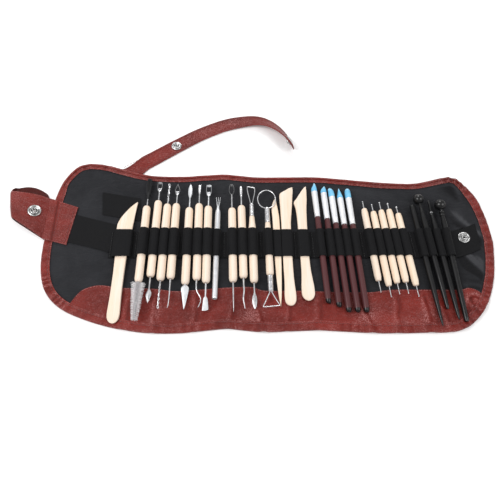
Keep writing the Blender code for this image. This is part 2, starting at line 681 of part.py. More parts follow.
def black_tools():
    black_tool("black_taper_point", 170.9, -4.8, [
        (48.6, 2.6), (47.8, 3.0), (20, 3.0), (-20, 3.1), (-55, 2.7), (-80, 1.8), (-92, 1.0), (-95.5, 0.3)])
    black_tool("black_ball_end", 179.9, -5.6, ball_stations(57.4, 5.9, 1.5) + [
        (51.2, 1.5), (47, 1.6), (40, 2.2), (28, 3.1), (0, BLACK_RADIUS), (-40, 3.0), (-66, 2.3), (-75, 1.8),
        (-76.8, 0.9)], raised=1.2, pitch=1.6)
    black_tool("black_needle_point", 190.5, -4.2, [
        (55.1, 0.6), (54, 1.1), (44, 1.5), (39.6, 1.5), (39.2, 2.1), (36.4, 2.2), (36, 1.8), (30, 2.4), (22, 3.1),
        (0, BLACK_RADIUS), (-40, 3.0), (-75, 2.1), (-86, 1.2), (-88.3, 0.5)])
    black_tool("black_knob_end", 200.3, -2.8, ball_stations(49.4, 6.4, 1.8) + [
        (43, 1.9), (38.6, 2.0), (38.2, 3.1), (36.8, 3.1), (36.4, 2.2), (35.2, 2.2), (34.8, 3.1), (33.4, 3.1),
        (33, 2.2), (26, 2.9), (10, BLACK_RADIUS), (-50, 3.0), (-78, 2.6), (-88, 2.4), (-90.1, 1.6)],
        raised=1.75, pitch=1.6)


wooden_knife()
wire_brush_tool()
diamond_blade_tool()
twisted_wire_tool()
hooked_needle_tool()
spear_spatula_tool()
bent_hook_tool()
square_scraper_tool()
tube_fork_tool()
spoon_needle_tool()
bent_rod_tool()
leaf_blade_tool()
ribbon_loop_tool()
wooden_sticks()
shapers()
ball_styli()
black_tools()
elastic_band(LOOPS)


# ---------------------------------------------------------------- closing strap

def closing_strap():
    """Leather strap sewn to the case's far edge. It lies on the table and twists up on edge."""
    line = smooth_points(STRAP_LINE, 2)
    total = len(line) - 1
    root_slope = Vector((-0.94, 0.34, 0.0))
    rings = []
    for i, point in enumerate(line):
        share = i / total
        ahead = (line[min(i + 1, total)] - line[max(i - 1, 0)]).normalized()
        across = Vector((-ahead.y, ahead.x, 0.0))
        if i == 0:
            across = root_slope
        turn = math.radians(STRAP_TWIST_DEG) * max(0.0, (share - STRAP_TWIST_START) / (1 - STRAP_TWIST_START)) ** 1.4
        half = STRAP_WIDTH / 2 * (1.0 if i < total else 0.55)
        sideways = across * math.cos(turn) - Vector((0, 0, 1)) * math.sin(turn)
        face = Vector((ahead.x, ahead.y, 0.0)).cross(sideways)
        middle = Vector((point.x, point.y, STRAP_THICK / 2 + 0.3 + half * math.sin(turn)))
        offset = face * STRAP_THICK / 2
        rings.append([middle + sideways * half + offset, middle - sideways * half + offset,
                      middle - sideways * half - offset, middle + sideways * half - offset])
    return new_object("closing_strap", loft(rings, smooth=False, name="closing_strap"), LEATHER)


def snap_button(name, x, y, bottom, profile, finish, parent=None):
    made = turned(name, profile, finish, parent, sides=20)
    made.location = (x * MM, y * MM, bottom * MM)
    return made


STUD_PROFILE = [(0, 2.4), (3.0, 2.4), (4.6, 1.9), (SNAP_RADIUS - 0.6, 1.2), (SNAP_RADIUS, 0.6), (SNAP_RADIUS, 0.0), (0, 0)]
strap = closing_strap()
strap_stud = snap_button("strap_stud", -111.0, 140.5, STRAP_THICK, STUD_PROFILE, None)
boolean(strap, strap_stud, "UNION")


# ---------------------------------------------------------------- tab and snaps

def tab_section(root, tip, inward):
    """Teardrop section of the folded tab from its root to its rounded tip, moved inwards."""
    reach = Vector(tip) - Vector(root)
    length = reach.length
    direction = reach / length
    radius = TAB_HEIGHT / 2
    steps = 8
    made = []
    for i in range(steps + 1):
        turn = math.pi / 2 - math.pi * i / steps
        made.append((length - radius + (radius - inward) * math.cos(turn), radius + (radius - inward) * math.sin(turn)))
    low_root = (inward * 3.2, inward)
    high_root = (inward * 3.2, 3.8 - inward)
    section = [high_root, (length * 0.35, 8.0 - inward)] + made + [(length * 0.35, 0.2 + inward), low_root]
    return [Vector((root[0] + direction.x * along, root[1] + direction.y * along, TAB_LIFT + up))
            for along, up in section]


def tab_loop():
    """Leather tab folded back on itself, open at both sides like a flattened tube."""
    shares = (0.0, 0.33, 0.67, 1.0)
    bm = bmesh.new()
    layers = []
    for inward in (0.0, TAB_THICK):
        rows = []
        for share in shares:
            root = Vector(TAB_ROOT_NEAR).lerp(Vector(TAB_ROOT_FAR), share)
            tip = Vector(TAB_TIP_NEAR).lerp(Vector(TAB_TIP_FAR), share)
            rows.append([bm.verts.new(point) for point in tab_section(root, tip, inward)])
        layers.append(rows)
    for rows in layers:
        for here, there in zip(rows, rows[1:]):
            for i in range(len(here)):
                j = (i + 1) % len(here)
                bm.faces.new((here[i], here[j], there[j], there[i]))
    outer, inner = layers
    for k in (0, -1):
        for i in range(len(outer[k])):
            j = (i + 1) % len(outer[k])
            bm.faces.new((outer[k][i], outer[k][j], inner[k][j], inner[k][i]))
    return new_object("tab_loop", mesh_from("tab_loop", bm), LEATHER)


tab_loop()
snap_button("tab_snap", -265.5, 44.0, TAB_LIFT + 12.6, STUD_PROFILE, STEEL)
RING_PROFILE = [
    (5.2, 2.6), (SNAP_RADIUS - 0.9, 2.0), (SNAP_RADIUS - 0.6, 0.8), (SNAP_RADIUS - 0.6, 0.0), (2.2, 0.0), (2.2, 1.2), (3.6, 1.4),
]
lining_snap = turned("lining_snap", RING_PROFILE, STEEL, None, sides=20, closed=True)
lining_snap.location = (221.0 * MM, 14.0 * MM, (POCKET_TOP + GAP) * MM)
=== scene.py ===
"""Looks of the roll-up case of clay shaping tools, opened out flat on a table.

Frame: metres, +X along the case to its right end, +Y to the edge that the tool tips point at, +Z up.
Sizes in the tables are in millimetres. Each tool is built in its own frame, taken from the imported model.
"""

import json
import math

import bmesh
import bpy
import numpy as np
from mathutils import Matrix, Vector, noise


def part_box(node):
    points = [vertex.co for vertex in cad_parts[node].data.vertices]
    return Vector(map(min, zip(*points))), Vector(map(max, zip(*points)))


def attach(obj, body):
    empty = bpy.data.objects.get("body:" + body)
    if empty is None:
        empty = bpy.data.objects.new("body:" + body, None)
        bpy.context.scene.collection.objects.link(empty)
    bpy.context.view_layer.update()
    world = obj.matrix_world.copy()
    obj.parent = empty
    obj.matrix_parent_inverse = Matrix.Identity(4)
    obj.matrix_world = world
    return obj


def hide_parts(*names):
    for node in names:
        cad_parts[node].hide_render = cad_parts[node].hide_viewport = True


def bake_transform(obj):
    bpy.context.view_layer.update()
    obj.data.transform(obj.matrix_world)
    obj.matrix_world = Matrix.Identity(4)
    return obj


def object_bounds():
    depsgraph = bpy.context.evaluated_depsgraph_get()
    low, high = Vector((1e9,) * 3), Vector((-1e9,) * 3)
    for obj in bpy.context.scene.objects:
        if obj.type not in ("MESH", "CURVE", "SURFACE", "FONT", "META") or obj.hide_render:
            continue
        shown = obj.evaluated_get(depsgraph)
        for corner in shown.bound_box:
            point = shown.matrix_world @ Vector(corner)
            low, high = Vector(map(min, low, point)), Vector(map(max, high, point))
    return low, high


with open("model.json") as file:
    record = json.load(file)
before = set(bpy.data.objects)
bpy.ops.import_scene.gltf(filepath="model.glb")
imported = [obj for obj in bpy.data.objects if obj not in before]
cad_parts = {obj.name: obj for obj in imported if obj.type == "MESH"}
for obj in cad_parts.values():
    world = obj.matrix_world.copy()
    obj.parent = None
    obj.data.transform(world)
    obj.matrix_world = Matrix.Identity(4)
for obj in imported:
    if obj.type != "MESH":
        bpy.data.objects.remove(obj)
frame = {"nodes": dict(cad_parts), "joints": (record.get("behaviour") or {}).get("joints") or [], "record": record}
cad_low, cad_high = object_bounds()
MM = 0.001


# ---------------------------------------------------------------- camera, light and table

VIEW_MIDDLE = Vector((-20, 0, 0)) * MM
VIEW_ELEVATION = math.radians(65)
VIEW_DISTANCE = 545 * MM

back = Vector((0, -math.cos(VIEW_ELEVATION), math.sin(VIEW_ELEVATION)))
lens = bpy.data.cameras.new("camera")
lens.lens = 35
lens.sensor_width = 36
lens.clip_start = 0.01
camera = bpy.data.objects.new("camera", lens)
camera.location = VIEW_MIDDLE + back * VIEW_DISTANCE
camera.rotation_euler = (-back).to_track_quat("-Z", "Y").to_euler()
bpy.context.scene.collection.objects.link(camera)
bpy.context.scene.camera = camera
bpy.context.scene.view_settings.view_transform = "Standard"


def area_light(name, place, target, size, watts):
    data = bpy.data.lights.new(name, "AREA")
    data.shape = "DISK"
    data.size = size
    data.energy = watts
    lamp = bpy.data.objects.new(name, data)
    lamp.location = place
    lamp.rotation_euler = (Vector(target) - Vector(place)).to_track_quat("-Z", "Y").to_euler()
    bpy.context.scene.collection.objects.link(lamp)


area_light("left_light", (-0.75, -0.15, 0.95), (0, 0, 0), 0.75, 8.4)
area_light("right_light", (0.80, -0.25, 0.95), (0, 0, 0), 0.75, 5.2)
area_light("back_light", (0.0, 1.05, 0.80), (0, 0, 0), 0.50, 5.0)

world = bpy.data.worlds.new("studio")
world.use_nodes = True
world.node_tree.nodes["Background"].inputs["Color"].default_value = (1.0, 1.0, 1.0, 1.0)
world.node_tree.nodes["Background"].inputs["Strength"].default_value = 0.42
bpy.context.scene.world = world


# ---------------------------------------------------------------- materials

class Nodes:
    """Node tree of one material, with its Principled shader."""

    def __init__(self, name, metallic=0.0, **fixed):
        self.material = bpy.data.materials.new(name)
        self.material.use_nodes = True
        self.tree = self.material.node_tree
        self.shader = self.tree.nodes["Principled BSDF"]
        self.shader.inputs["Metallic"].default_value = metallic
        for socket, value in fixed.items():
            self.shader.inputs[socket.replace("_", " ")].default_value = value
        self.place = self.add("ShaderNodeAttribute", attribute_name="place").outputs["Vector"]
        self.tone = self.add("ShaderNodeAttribute", attribute_name="tone").outputs["Fac"]

    def add(self, kind, values=None, **settings):
        node = self.tree.nodes.new(kind)
        for key, value in settings.items():
            setattr(node, key, value)
        for key, value in (values or {}).items():
            if isinstance(value, bpy.types.NodeSocket):
                self.tree.links.new(value, node.inputs[key])
            else:
                node.inputs[key].default_value = value
        return node

    def math(self, operation, a, b=0.0, c=0.0, clamp=False):
        return self.add("ShaderNodeMath", {0: a, 1: b, 2: c}, operation=operation,
                        use_clamp=clamp).outputs[0]

    def scaled(self, factors):
        return self.add("ShaderNodeVectorMath", {0: self.place, 1: factors},
                        operation="MULTIPLY").outputs[0]

    def noise(self, factors, detail=3.0, rough=0.5, distortion=0.0):
        """Noise with this many features per millimetre along each axis."""
        return self.add("ShaderNodeTexNoise", {
            "Vector": self.scaled(factors), "Scale": 1.0, "Detail": detail, "Roughness": rough,
            "Distortion": distortion}).outputs["Fac"]

    def axis(self, index):
        return self.add("ShaderNodeSeparateXYZ", {0: self.place}).outputs[index]

    def remap(self, value, low, high, to_low=0.0, to_high=1.0):
        return self.add("ShaderNodeMapRange", {
            "Value": value, "From Min": low, "From Max": high, "To Min": to_low, "To Max": to_high,
        }).outputs["Result"]

    def mix(self, share, a, b, blend="MIX"):
        node = self.add("ShaderNodeMix", data_type="RGBA", blend_type=blend)
        for index, value in ((0, share), (6, a), (7, b)):
            if isinstance(value, bpy.types.NodeSocket):
                self.tree.links.new(value, node.inputs[index])
            else:
                node.inputs[index].default_value = value if index == 0 else (*value, 1.0)
        return node.outputs[2]

    def colour(self, value):
        self.tree.links.new(value, self.shader.inputs["Base Color"])

    def roughness(self, value):
        self.tree.links.new(value, self.shader.inputs["Roughness"])

    def bump(self, height, depth_mm, strength=1.0):
        node = self.add("ShaderNodeBump", {"Height": height, "Distance": depth_mm * MM,
                                           "Strength": strength})
        self.tree.links.new(node.outputs["Normal"], self.shader.inputs["Normal"])


def leather_material(name, base, scuff_and_glint_colour):
    """Pebbled imitation leather, paler where the tone attribute is above 0: scuffs, painted highlights and painted
    sheen. Below 0 it darkens, which is painted shade in creases and folds, and at -1 it is the matt back, painted
    dark also for the shade inside the folds."""
    n = Nodes(name, Specular_IOR_Level=0.2)
    warped = n.add("ShaderNodeVectorMath", {
        0: n.place,
        1: n.add("ShaderNodeVectorMath", {
            0: n.add("ShaderNodeTexNoise", {
                "Vector": n.place, "Scale": 0.45, "Detail": 2.0}).outputs["Color"],
            1: (1.1, 1.1, 1.1)}, operation="MULTIPLY").outputs[0]}).outputs[0]
    cells = n.add("ShaderNodeTexVoronoi", {"Vector": warped, "Scale": 0.72, "Randomness": 1.0},
                  feature="DISTANCE_TO_EDGE").outputs["Distance"]
    pebble = n.remap(cells, 0.0, 0.28)
    fine = n.noise((3.4, 3.4, 3.4), 3.0)

    def crinkle(factors, width, distortion):
        """Ridge lines, 1 on each line."""
        away = n.math("ABSOLUTE", n.math("SUBTRACT", n.noise(factors, 3.0, 0.55, distortion), 0.5))
        return n.remap(away, 0.0, width, 1.0, 0.0)

    broad = crinkle((0.045, 0.085, 0.06), 0.05, 0.9)
    small = crinkle((0.17, 0.24, 0.2), 0.07, 0.7)
    height = n.math("MULTIPLY_ADD", fine, 0.14, n.math("MULTIPLY", pebble, 0.44))
    height = n.math("MULTIPLY_ADD", small, 0.55, height)
    height = n.math("MULTIPLY_ADD", broad, 0.8, height)
    n.bump(height, 0.36, 0.75)
    blotch = n.remap(n.noise((0.018, 0.03, 0.03), 4.0, 0.6), 0.35, 0.68)
    dark = tuple(c * 0.66 for c in base)
    colour = n.mix(blotch, dark, tuple(min(1, c * 1.2) for c in base))
    # painted shade in the grooves between the pebbles
    groove = n.remap(pebble, 0.0, 0.75, 0.70, 1.0)
    shade = n.add("ShaderNodeCombineColor", {0: groove, 1: groove, 2: groove}).outputs[0]
    colour = n.mix(1.0, colour, shade, "MULTIPLY")
    # the crinkles' ridges and the places that the tone attribute marks go towards the paler colour: a few scuffs,
    # mostly painted glints and highlights
    glints = n.remap(n.noise((0.9, 0.9, 0.9), 4.0, 0.7), 0.46, 0.62)
    ridges = n.math("MULTIPLY_ADD", small, 0.16, n.math("MULTIPLY", broad, 0.25))
    ridge_glints = n.math("MULTIPLY", ridges, glints)
    scuff_and_glint = n.math("MULTIPLY_ADD", n.tone, glints, ridge_glints, clamp=True)
    colour = n.mix(n.math("MULTIPLY", scuff_and_glint, 0.8), colour, scuff_and_glint_colour)
    # below 0 the tone attribute darkens it towards a dark red: painted shade in creases and folds, and the matt
    # back
    n.colour(n.mix(n.remap(n.tone, 0.0, -1.0), colour, tuple(c * 0.22 for c in base)))
    n.roughness(n.math("ADD", n.remap(n.noise((0.25, 0.25, 0.25), 4.0), 0.3, 0.7, 0.27, 0.44),
                       n.math("MULTIPLY", scuff_and_glint, 0.08)))
    return n.material


def lining_material():
    """Fine plain-weave fabric, darker where the tone attribute is above 0 and paler where it is below: painted
    shade and painted light.
    """
    n = Nodes("charcoal_weave", Sheen_Weight=0.12, Sheen_Roughness=0.4, Specular_IOR_Level=0.2)
    pitch = 2 * math.pi / 0.95
    over = n.math("SINE", n.math("MULTIPLY", n.axis(0), pitch))
    across = n.math("SINE", n.math("MULTIPLY", n.axis(1), pitch))
    weave = n.math("MULTIPLY", over, across)
    slub = n.noise((0.25, 2.2, 0.3), 3.0)
    folds = n.noise((0.05, 0.10, 0.05), 4.0, 0.6, 1.2)
    n.bump(n.math("MULTIPLY_ADD", folds, 26.0, n.math("MULTIPLY_ADD", slub, 1.1, weave)), 0.09, 0.8)
    cloudy = n.remap(n.noise((0.03, 0.03, 0.03), 5.0, 0.6), 0.3, 0.7)
    colour = n.mix(cloudy, (0.0135, 0.0140, 0.0165), (0.0265, 0.0275, 0.0315))
    # painted shade where the tone attribute is above 0, and painted light where it is below
    colour = n.mix(n.remap(n.tone, 0.0, 1.0), colour, (0.0045, 0.0045, 0.0055))
    colour = n.mix(n.remap(n.tone, 0.0, -1.0), colour, (0.072, 0.073, 0.080))
    n.colour(n.mix(n.remap(weave, -1.0, 1.0, 0.0, 0.35), colour, (0.012, 0.012, 0.015)))
    n.roughness(n.remap(slub, 0.3, 0.7, 0.72, 0.92))
    return n.material


def elastic_material():
    """Black knitted elastic with ribs along its length."""
    n = Nodes("ribbed_elastic", Sheen_Weight=0.05, Sheen_Roughness=0.4, Specular_IOR_Level=0.14)
    rib = n.math("SINE", n.math("MULTIPLY", n.axis(1), 2 * math.pi / 1.3))
    knit = n.math("SINE", n.math("MULTIPLY", n.axis(0), 2 * math.pi / 0.8))
    n.bump(n.math("MULTIPLY_ADD", n.math("MULTIPLY", rib, knit), 0.35, rib), 0.10, 0.7)
    dust = n.remap(n.noise((0.06, 0.12, 0.06), 4.0, 0.6), 0.3, 0.75)
    colour = n.mix(dust, (0.0052, 0.0052, 0.0060), (0.0100, 0.0101, 0.0114))
    # darker in the valleys between the ribs: painted shade
    n.colour(n.mix(n.remap(rib, -1.0, 1.0, 0.5, 0.0), colour, (0.004, 0.004, 0.0045)))
    n.roughness(n.remap(dust, 0.0, 1.0, 0.62, 0.8))
    return n.material


def wood_material(name, pale, warm):
    """Sanded pale wood. Its grain runs along the tool."""
    n = Nodes(name, Specular_IOR_Level=0.3)
    rings = n.noise((0.42, 0.42, 0.012), 4.0, 0.6, 0.6)
    streak = n.noise((3.2, 3.2, 0.05), 4.0, 0.65)

    def browner(factors):
        return tuple(c * k for c, k in zip(warm, factors))

    colour = n.mix(n.remap(n.noise((0.05, 0.05, 0.02), 3.0), 0.35, 0.65), pale, warm)
    colour = n.mix(n.remap(rings, 0.40, 0.60, 0.0, 0.75), colour, browner((0.96, 0.91, 0.83)))
    n.colour(n.mix(n.remap(streak, 0.56, 0.70, 0.0, 0.42), colour, browner((0.84, 0.72, 0.58))))
    n.bump(n.math("MULTIPLY_ADD", rings, 0.4, streak), 0.05, 0.5)
    n.roughness(n.remap(streak, 0.3, 0.7, 0.52, 0.68))
    return n.material


def metal_material(name, light, dark, low, high, along=0.08, across=2.5, metallic=1.0):
    """Brushed metal, darker where the tone attribute is above 0, which in the snaps' hollows and on the needle's
    collar is painted shade. Marks run along the tool unless along is the larger number."""
    n = Nodes(name, metallic=metallic)
    brushed = n.noise((across, across, along), 4.0, 0.6)
    smudge = n.remap(n.noise((0.22, 0.22, 0.12), 4.0, 0.6), 0.35, 0.7)
    bright = n.mix(n.math("MULTIPLY_ADD", brushed, 0.4, n.math("MULTIPLY", smudge, 0.6)), dark, light)
    # towards a dark copy of the metal where the tone attribute is above 0: painted shade in hollows
    n.colour(n.mix(n.math("MULTIPLY", n.tone, 0.9, clamp=True), bright, tuple(c * 0.10 for c in dark)))
    n.roughness(n.math("ADD", n.remap(brushed, 0.3, 0.7, low, high), n.math("MULTIPLY", smudge, 0.07)))
    n.bump(brushed, 0.012, 0.4)
    return n.material


def silicone_material():
    n = Nodes("sky_silicone", Subsurface_Weight=0.12, Subsurface_Scale=0.0015, Specular_IOR_Level=0.4)
    n.shader.inputs["Subsurface Radius"].default_value = (0.4, 0.8, 1.0)
    cloud = n.remap(n.noise((0.2, 0.2, 0.2), 3.0), 0.35, 0.65)
    colour = n.mix(cloud, (0.16, 0.50, 0.76), (0.24, 0.60, 0.84))
    n.colour(n.mix(n.math("MULTIPLY", n.tone, 0.55), colour, (0.62, 0.86, 0.96)))
    fine = n.noise((2.0, 2.0, 2.0), 4.0)
    n.bump(fine, 0.03, 0.4)
    n.roughness(n.remap(fine, 0.3, 0.7, 0.40, 0.55))
    return n.material


def lacquer_material():
    """Maroon satin lacquer on wood. The tone attribute is 1 at its dipped dark end."""
    n = Nodes("maroon_satin", Coat_Weight=0.35, Coat_Roughness=0.10, Specular_IOR_Level=0.3)
    grain = n.noise((1.6, 1.6, 0.03), 4.0, 0.6)
    colour = n.mix(n.remap(grain, 0.35, 0.65), (0.068, 0.019, 0.021), (0.105, 0.031, 0.033))
    edge = n.remap(n.math("MULTIPLY_ADD", n.noise((0.5, 0.5, 0.5), 2.0), 0.3, n.tone), 0.5, 0.8)
    n.colour(n.mix(edge, colour, (0.0045, 0.002, 0.0025)))
    n.bump(grain, 0.035, 0.5)
    n.roughness(n.remap(grain, 0.3, 0.7, 0.30, 0.42))
    return n.material


def black_material():
    n = Nodes("black_satin", Coat_Weight=0.4, Coat_Roughness=0.08, Specular_IOR_Level=0.25)
    grain = n.noise((2.2, 2.2, 0.05), 4.0, 0.6)
    n.colour(n.mix(n.remap(grain, 0.35, 0.65), (0.0035, 0.0035, 0.0040), (0.0095, 0.0095, 0.0100)))
    n.bump(grain, 0.025, 0.5)
    n.roughness(n.remap(grain, 0.3, 0.7, 0.30, 0.46))
    return n.material


def thread_material(name, dark, light):
    """Twisted sewing thread."""
    n = Nodes(name, Sheen_Weight=0.2)
    total = n.math("ADD", n.axis(0), n.math("ADD", n.axis(1), n.axis(2)))
    twist = n.math("SINE", n.math("MULTIPLY", total, 2 * math.pi / 0.45))
    # darker in the grooves of the twist: painted shade
    n.colour(n.mix(n.remap(twist, -1.0, 1.0), dark, light))
    n.bump(twist, 0.05, 0.6)
    n.roughness(n.remap(n.noise((2.0, 2.0, 2.0)), 0.3, 0.7, 0.6, 0.8))
    return n.material


def brush_hair_material(name, root, tip):
    """Stiff hair, darker where the tone attribute is low."""
    n = Nodes(name, metallic=0.15)
    mottled = n.math("MULTIPLY_ADD", n.noise((1.2, 1.2, 0.4), 3.0), 0.5, n.tone)
    n.colour(n.mix(n.remap(mottled, 0.2, 1.3), root, tip))
    n.roughness(n.remap(mottled, 0.2, 1.3, 0.55, 0.35))
    return n.material


# the second colour is the paler one of scuffs and painted glints
LEATHER = leather_material("oxblood_pebble", (0.205, 0.0205, 0.0145), (0.50, 0.21, 0.20))
LINING = lining_material()
ELASTIC = elastic_material()
WOOD = wood_material("pale_wood", (0.90, 0.78, 0.68), (0.88, 0.73, 0.60))
PEACH_WOOD = wood_material("peach_wood", (0.90, 0.79, 0.66), (0.88, 0.71, 0.56))
STEEL = metal_material("steel", (0.88, 0.88, 0.89), (0.50, 0.50, 0.52), 0.20, 0.34, metallic=0.75)
SATIN = metal_material("satin_aluminium", (0.88, 0.89, 0.91), (0.66, 0.67, 0.70), 0.34, 0.46, along=2.2,
                       across=0.15, metallic=0.6)
PALE_METAL = metal_material("pale_ferrule", (0.96, 0.97, 0.99), (0.84, 0.85, 0.88), 0.36, 0.46, along=2.2,
                            across=0.15, metallic=0.45)
SNAP = metal_material("nickel_snap", (0.74, 0.74, 0.73), (0.46, 0.46, 0.46), 0.20, 0.34, along=1.0,
                      across=1.0)
SILICONE = silicone_material()
LACQUER = lacquer_material()
BLACK = black_material()
RED_THREAD = thread_material("red_thread", (0.10, 0.016, 0.015), (0.24, 0.055, 0.05))
BLACK_THREAD = thread_material("black_thread", (0.006, 0.006, 0.007), (0.022, 0.022, 0.024))
GREY_HAIR = brush_hair_material("grey_wire_hair", (0.74, 0.72, 0.74), (0.99, 0.98, 0.99))
DARK_HAIR = brush_hair_material("dark_hair", (0.006, 0.006, 0.007), (0.03, 0.03, 0.033))


def table_material():
    n = Nodes("white_table", Specular_IOR_Level=0.15, Emission_Color=(1.0, 1.0, 1.0, 1.0),
              Emission_Strength=0.10)
    paper = n.add("ShaderNodeTexNoise", {
        "Vector": n.add("ShaderNodeTexCoord").outputs["Object"], "Scale": 60.0,
        "Detail": 3.0}).outputs["Fac"]
    n.colour(n.mix(paper, (0.93, 0.93, 0.93), (0.96, 0.96, 0.96)))
    n.roughness(n.remap(paper, 0.3, 0.7, 0.75, 0.9))
    return n.material


table_mesh = bpy.data.meshes.new("table")
table_mesh.from_pydata([(-9, -9, 0), (9, -9, 0), (9, 9, 0), (-9, 9, 0)], [], [(0, 1, 2, 3)])
table_mesh.materials.append(table_material())
table = bpy.data.objects.new("table", table_mesh)
table.location.z = cad_low.z - 0.0001
bpy.context.scene.collection.objects.link(table)


# ---------------------------------------------------------------- mesh building

def smoothstep(low, high, value):
    t = np.clip((np.asarray(value, float) - low) / (high - low), 0, 1)
    return t * t * (3 - 2 * t)


def smooth_path(points, steps=8, closed=False):
    """Points on the Catmull-Rom curve through the given points, as an array."""
    points = np.array(points, float)
    count = len(points)
    made = []
    for i in range(count if closed else count - 1):
        a = points[i - 1] if closed or i else 2 * points[0] - points[1]
        b = points[i]
        c = points[(i + 1) % count]
        d = points[(i + 2) % count] if closed or i + 2 < count else 2 * points[-1] - points[-2]
        for t in np.arange(steps) / steps:
            made.append(0.5 * (2 * b + (c - a) * t + (2 * a - 5 * b + 4 * c - d) * t ** 2
                               + (3 * b - a - 3 * c + d) * t ** 3))
    if not closed:
        made.append(points[-1])
    return np.array(made)


def run_along(points):
    """Length along a path at each of its points."""
    return np.concatenate([[0], np.cumsum(np.linalg.norm(np.diff(points, axis=0), axis=1))])


def at_runs(at, runs, points):
    """Points of a path at these lengths along it."""
    return np.column_stack([np.interp(at, runs, points[:, k]) for k in range(points.shape[1])])


def evenly(points, pitch):
    """The path with its points this far apart, near enough."""
    points = np.array(points, float)
    runs = run_along(points)
    count = max(2, int(round(runs[-1] / pitch)) + 1)
    return at_runs(np.linspace(0, runs[-1], count), runs, points)


def headings(points):
    """Direction of a path at each of its points."""
    ahead = np.gradient(points, axis=0)
    return ahead / np.linalg.norm(ahead, axis=1)[:, None]


def oval(turns, squareness):
    """Unit oval at these angles. With a squareness of 2 it is a circle, and more is nearer to a square."""
    cos, sin = np.cos(turns), np.sin(turns)
    power = 2 / squareness
    return np.sign(cos) * np.abs(cos) ** power, np.sign(sin) * np.abs(sin) ** power


def eased(stations, longest=2.5):
    """Stations made finer by a monotone cubic through each column, so that no section overshoots."""
    rows = np.array(stations, float)
    t = np.concatenate([[0], np.cumsum(np.maximum(np.linalg.norm(np.diff(rows, axis=0), axis=1), 1e-6))])
    step = np.diff(t)
    secant = np.diff(rows, axis=0) / step[:, None]
    slope = np.zeros_like(rows)
    slope[0], slope[-1] = secant[0], secant[-1]
    both = secant[:-1] * secant[1:]
    with np.errstate(divide="ignore", invalid="ignore"):
        slope[1:-1] = np.where(both > 0, 2 * both / (secant[:-1] + secant[1:]), 0)
    made = []
    for i, h in enumerate(step):
        count = int(min(8, max(1, math.ceil(h / longest)))) if h > 0.35 else 1
        for u in np.arange(count) / count:
            made.append((2 * u ** 3 - 3 * u ** 2 + 1) * rows[i] + (u ** 3 - 2 * u ** 2 + u) * h * slope[i]
                        + (3 * u ** 2 - 2 * u ** 3) * rows[i + 1] + (u ** 3 - u ** 2) * h * slope[i + 1])
    made.append(rows[-1])
    return made


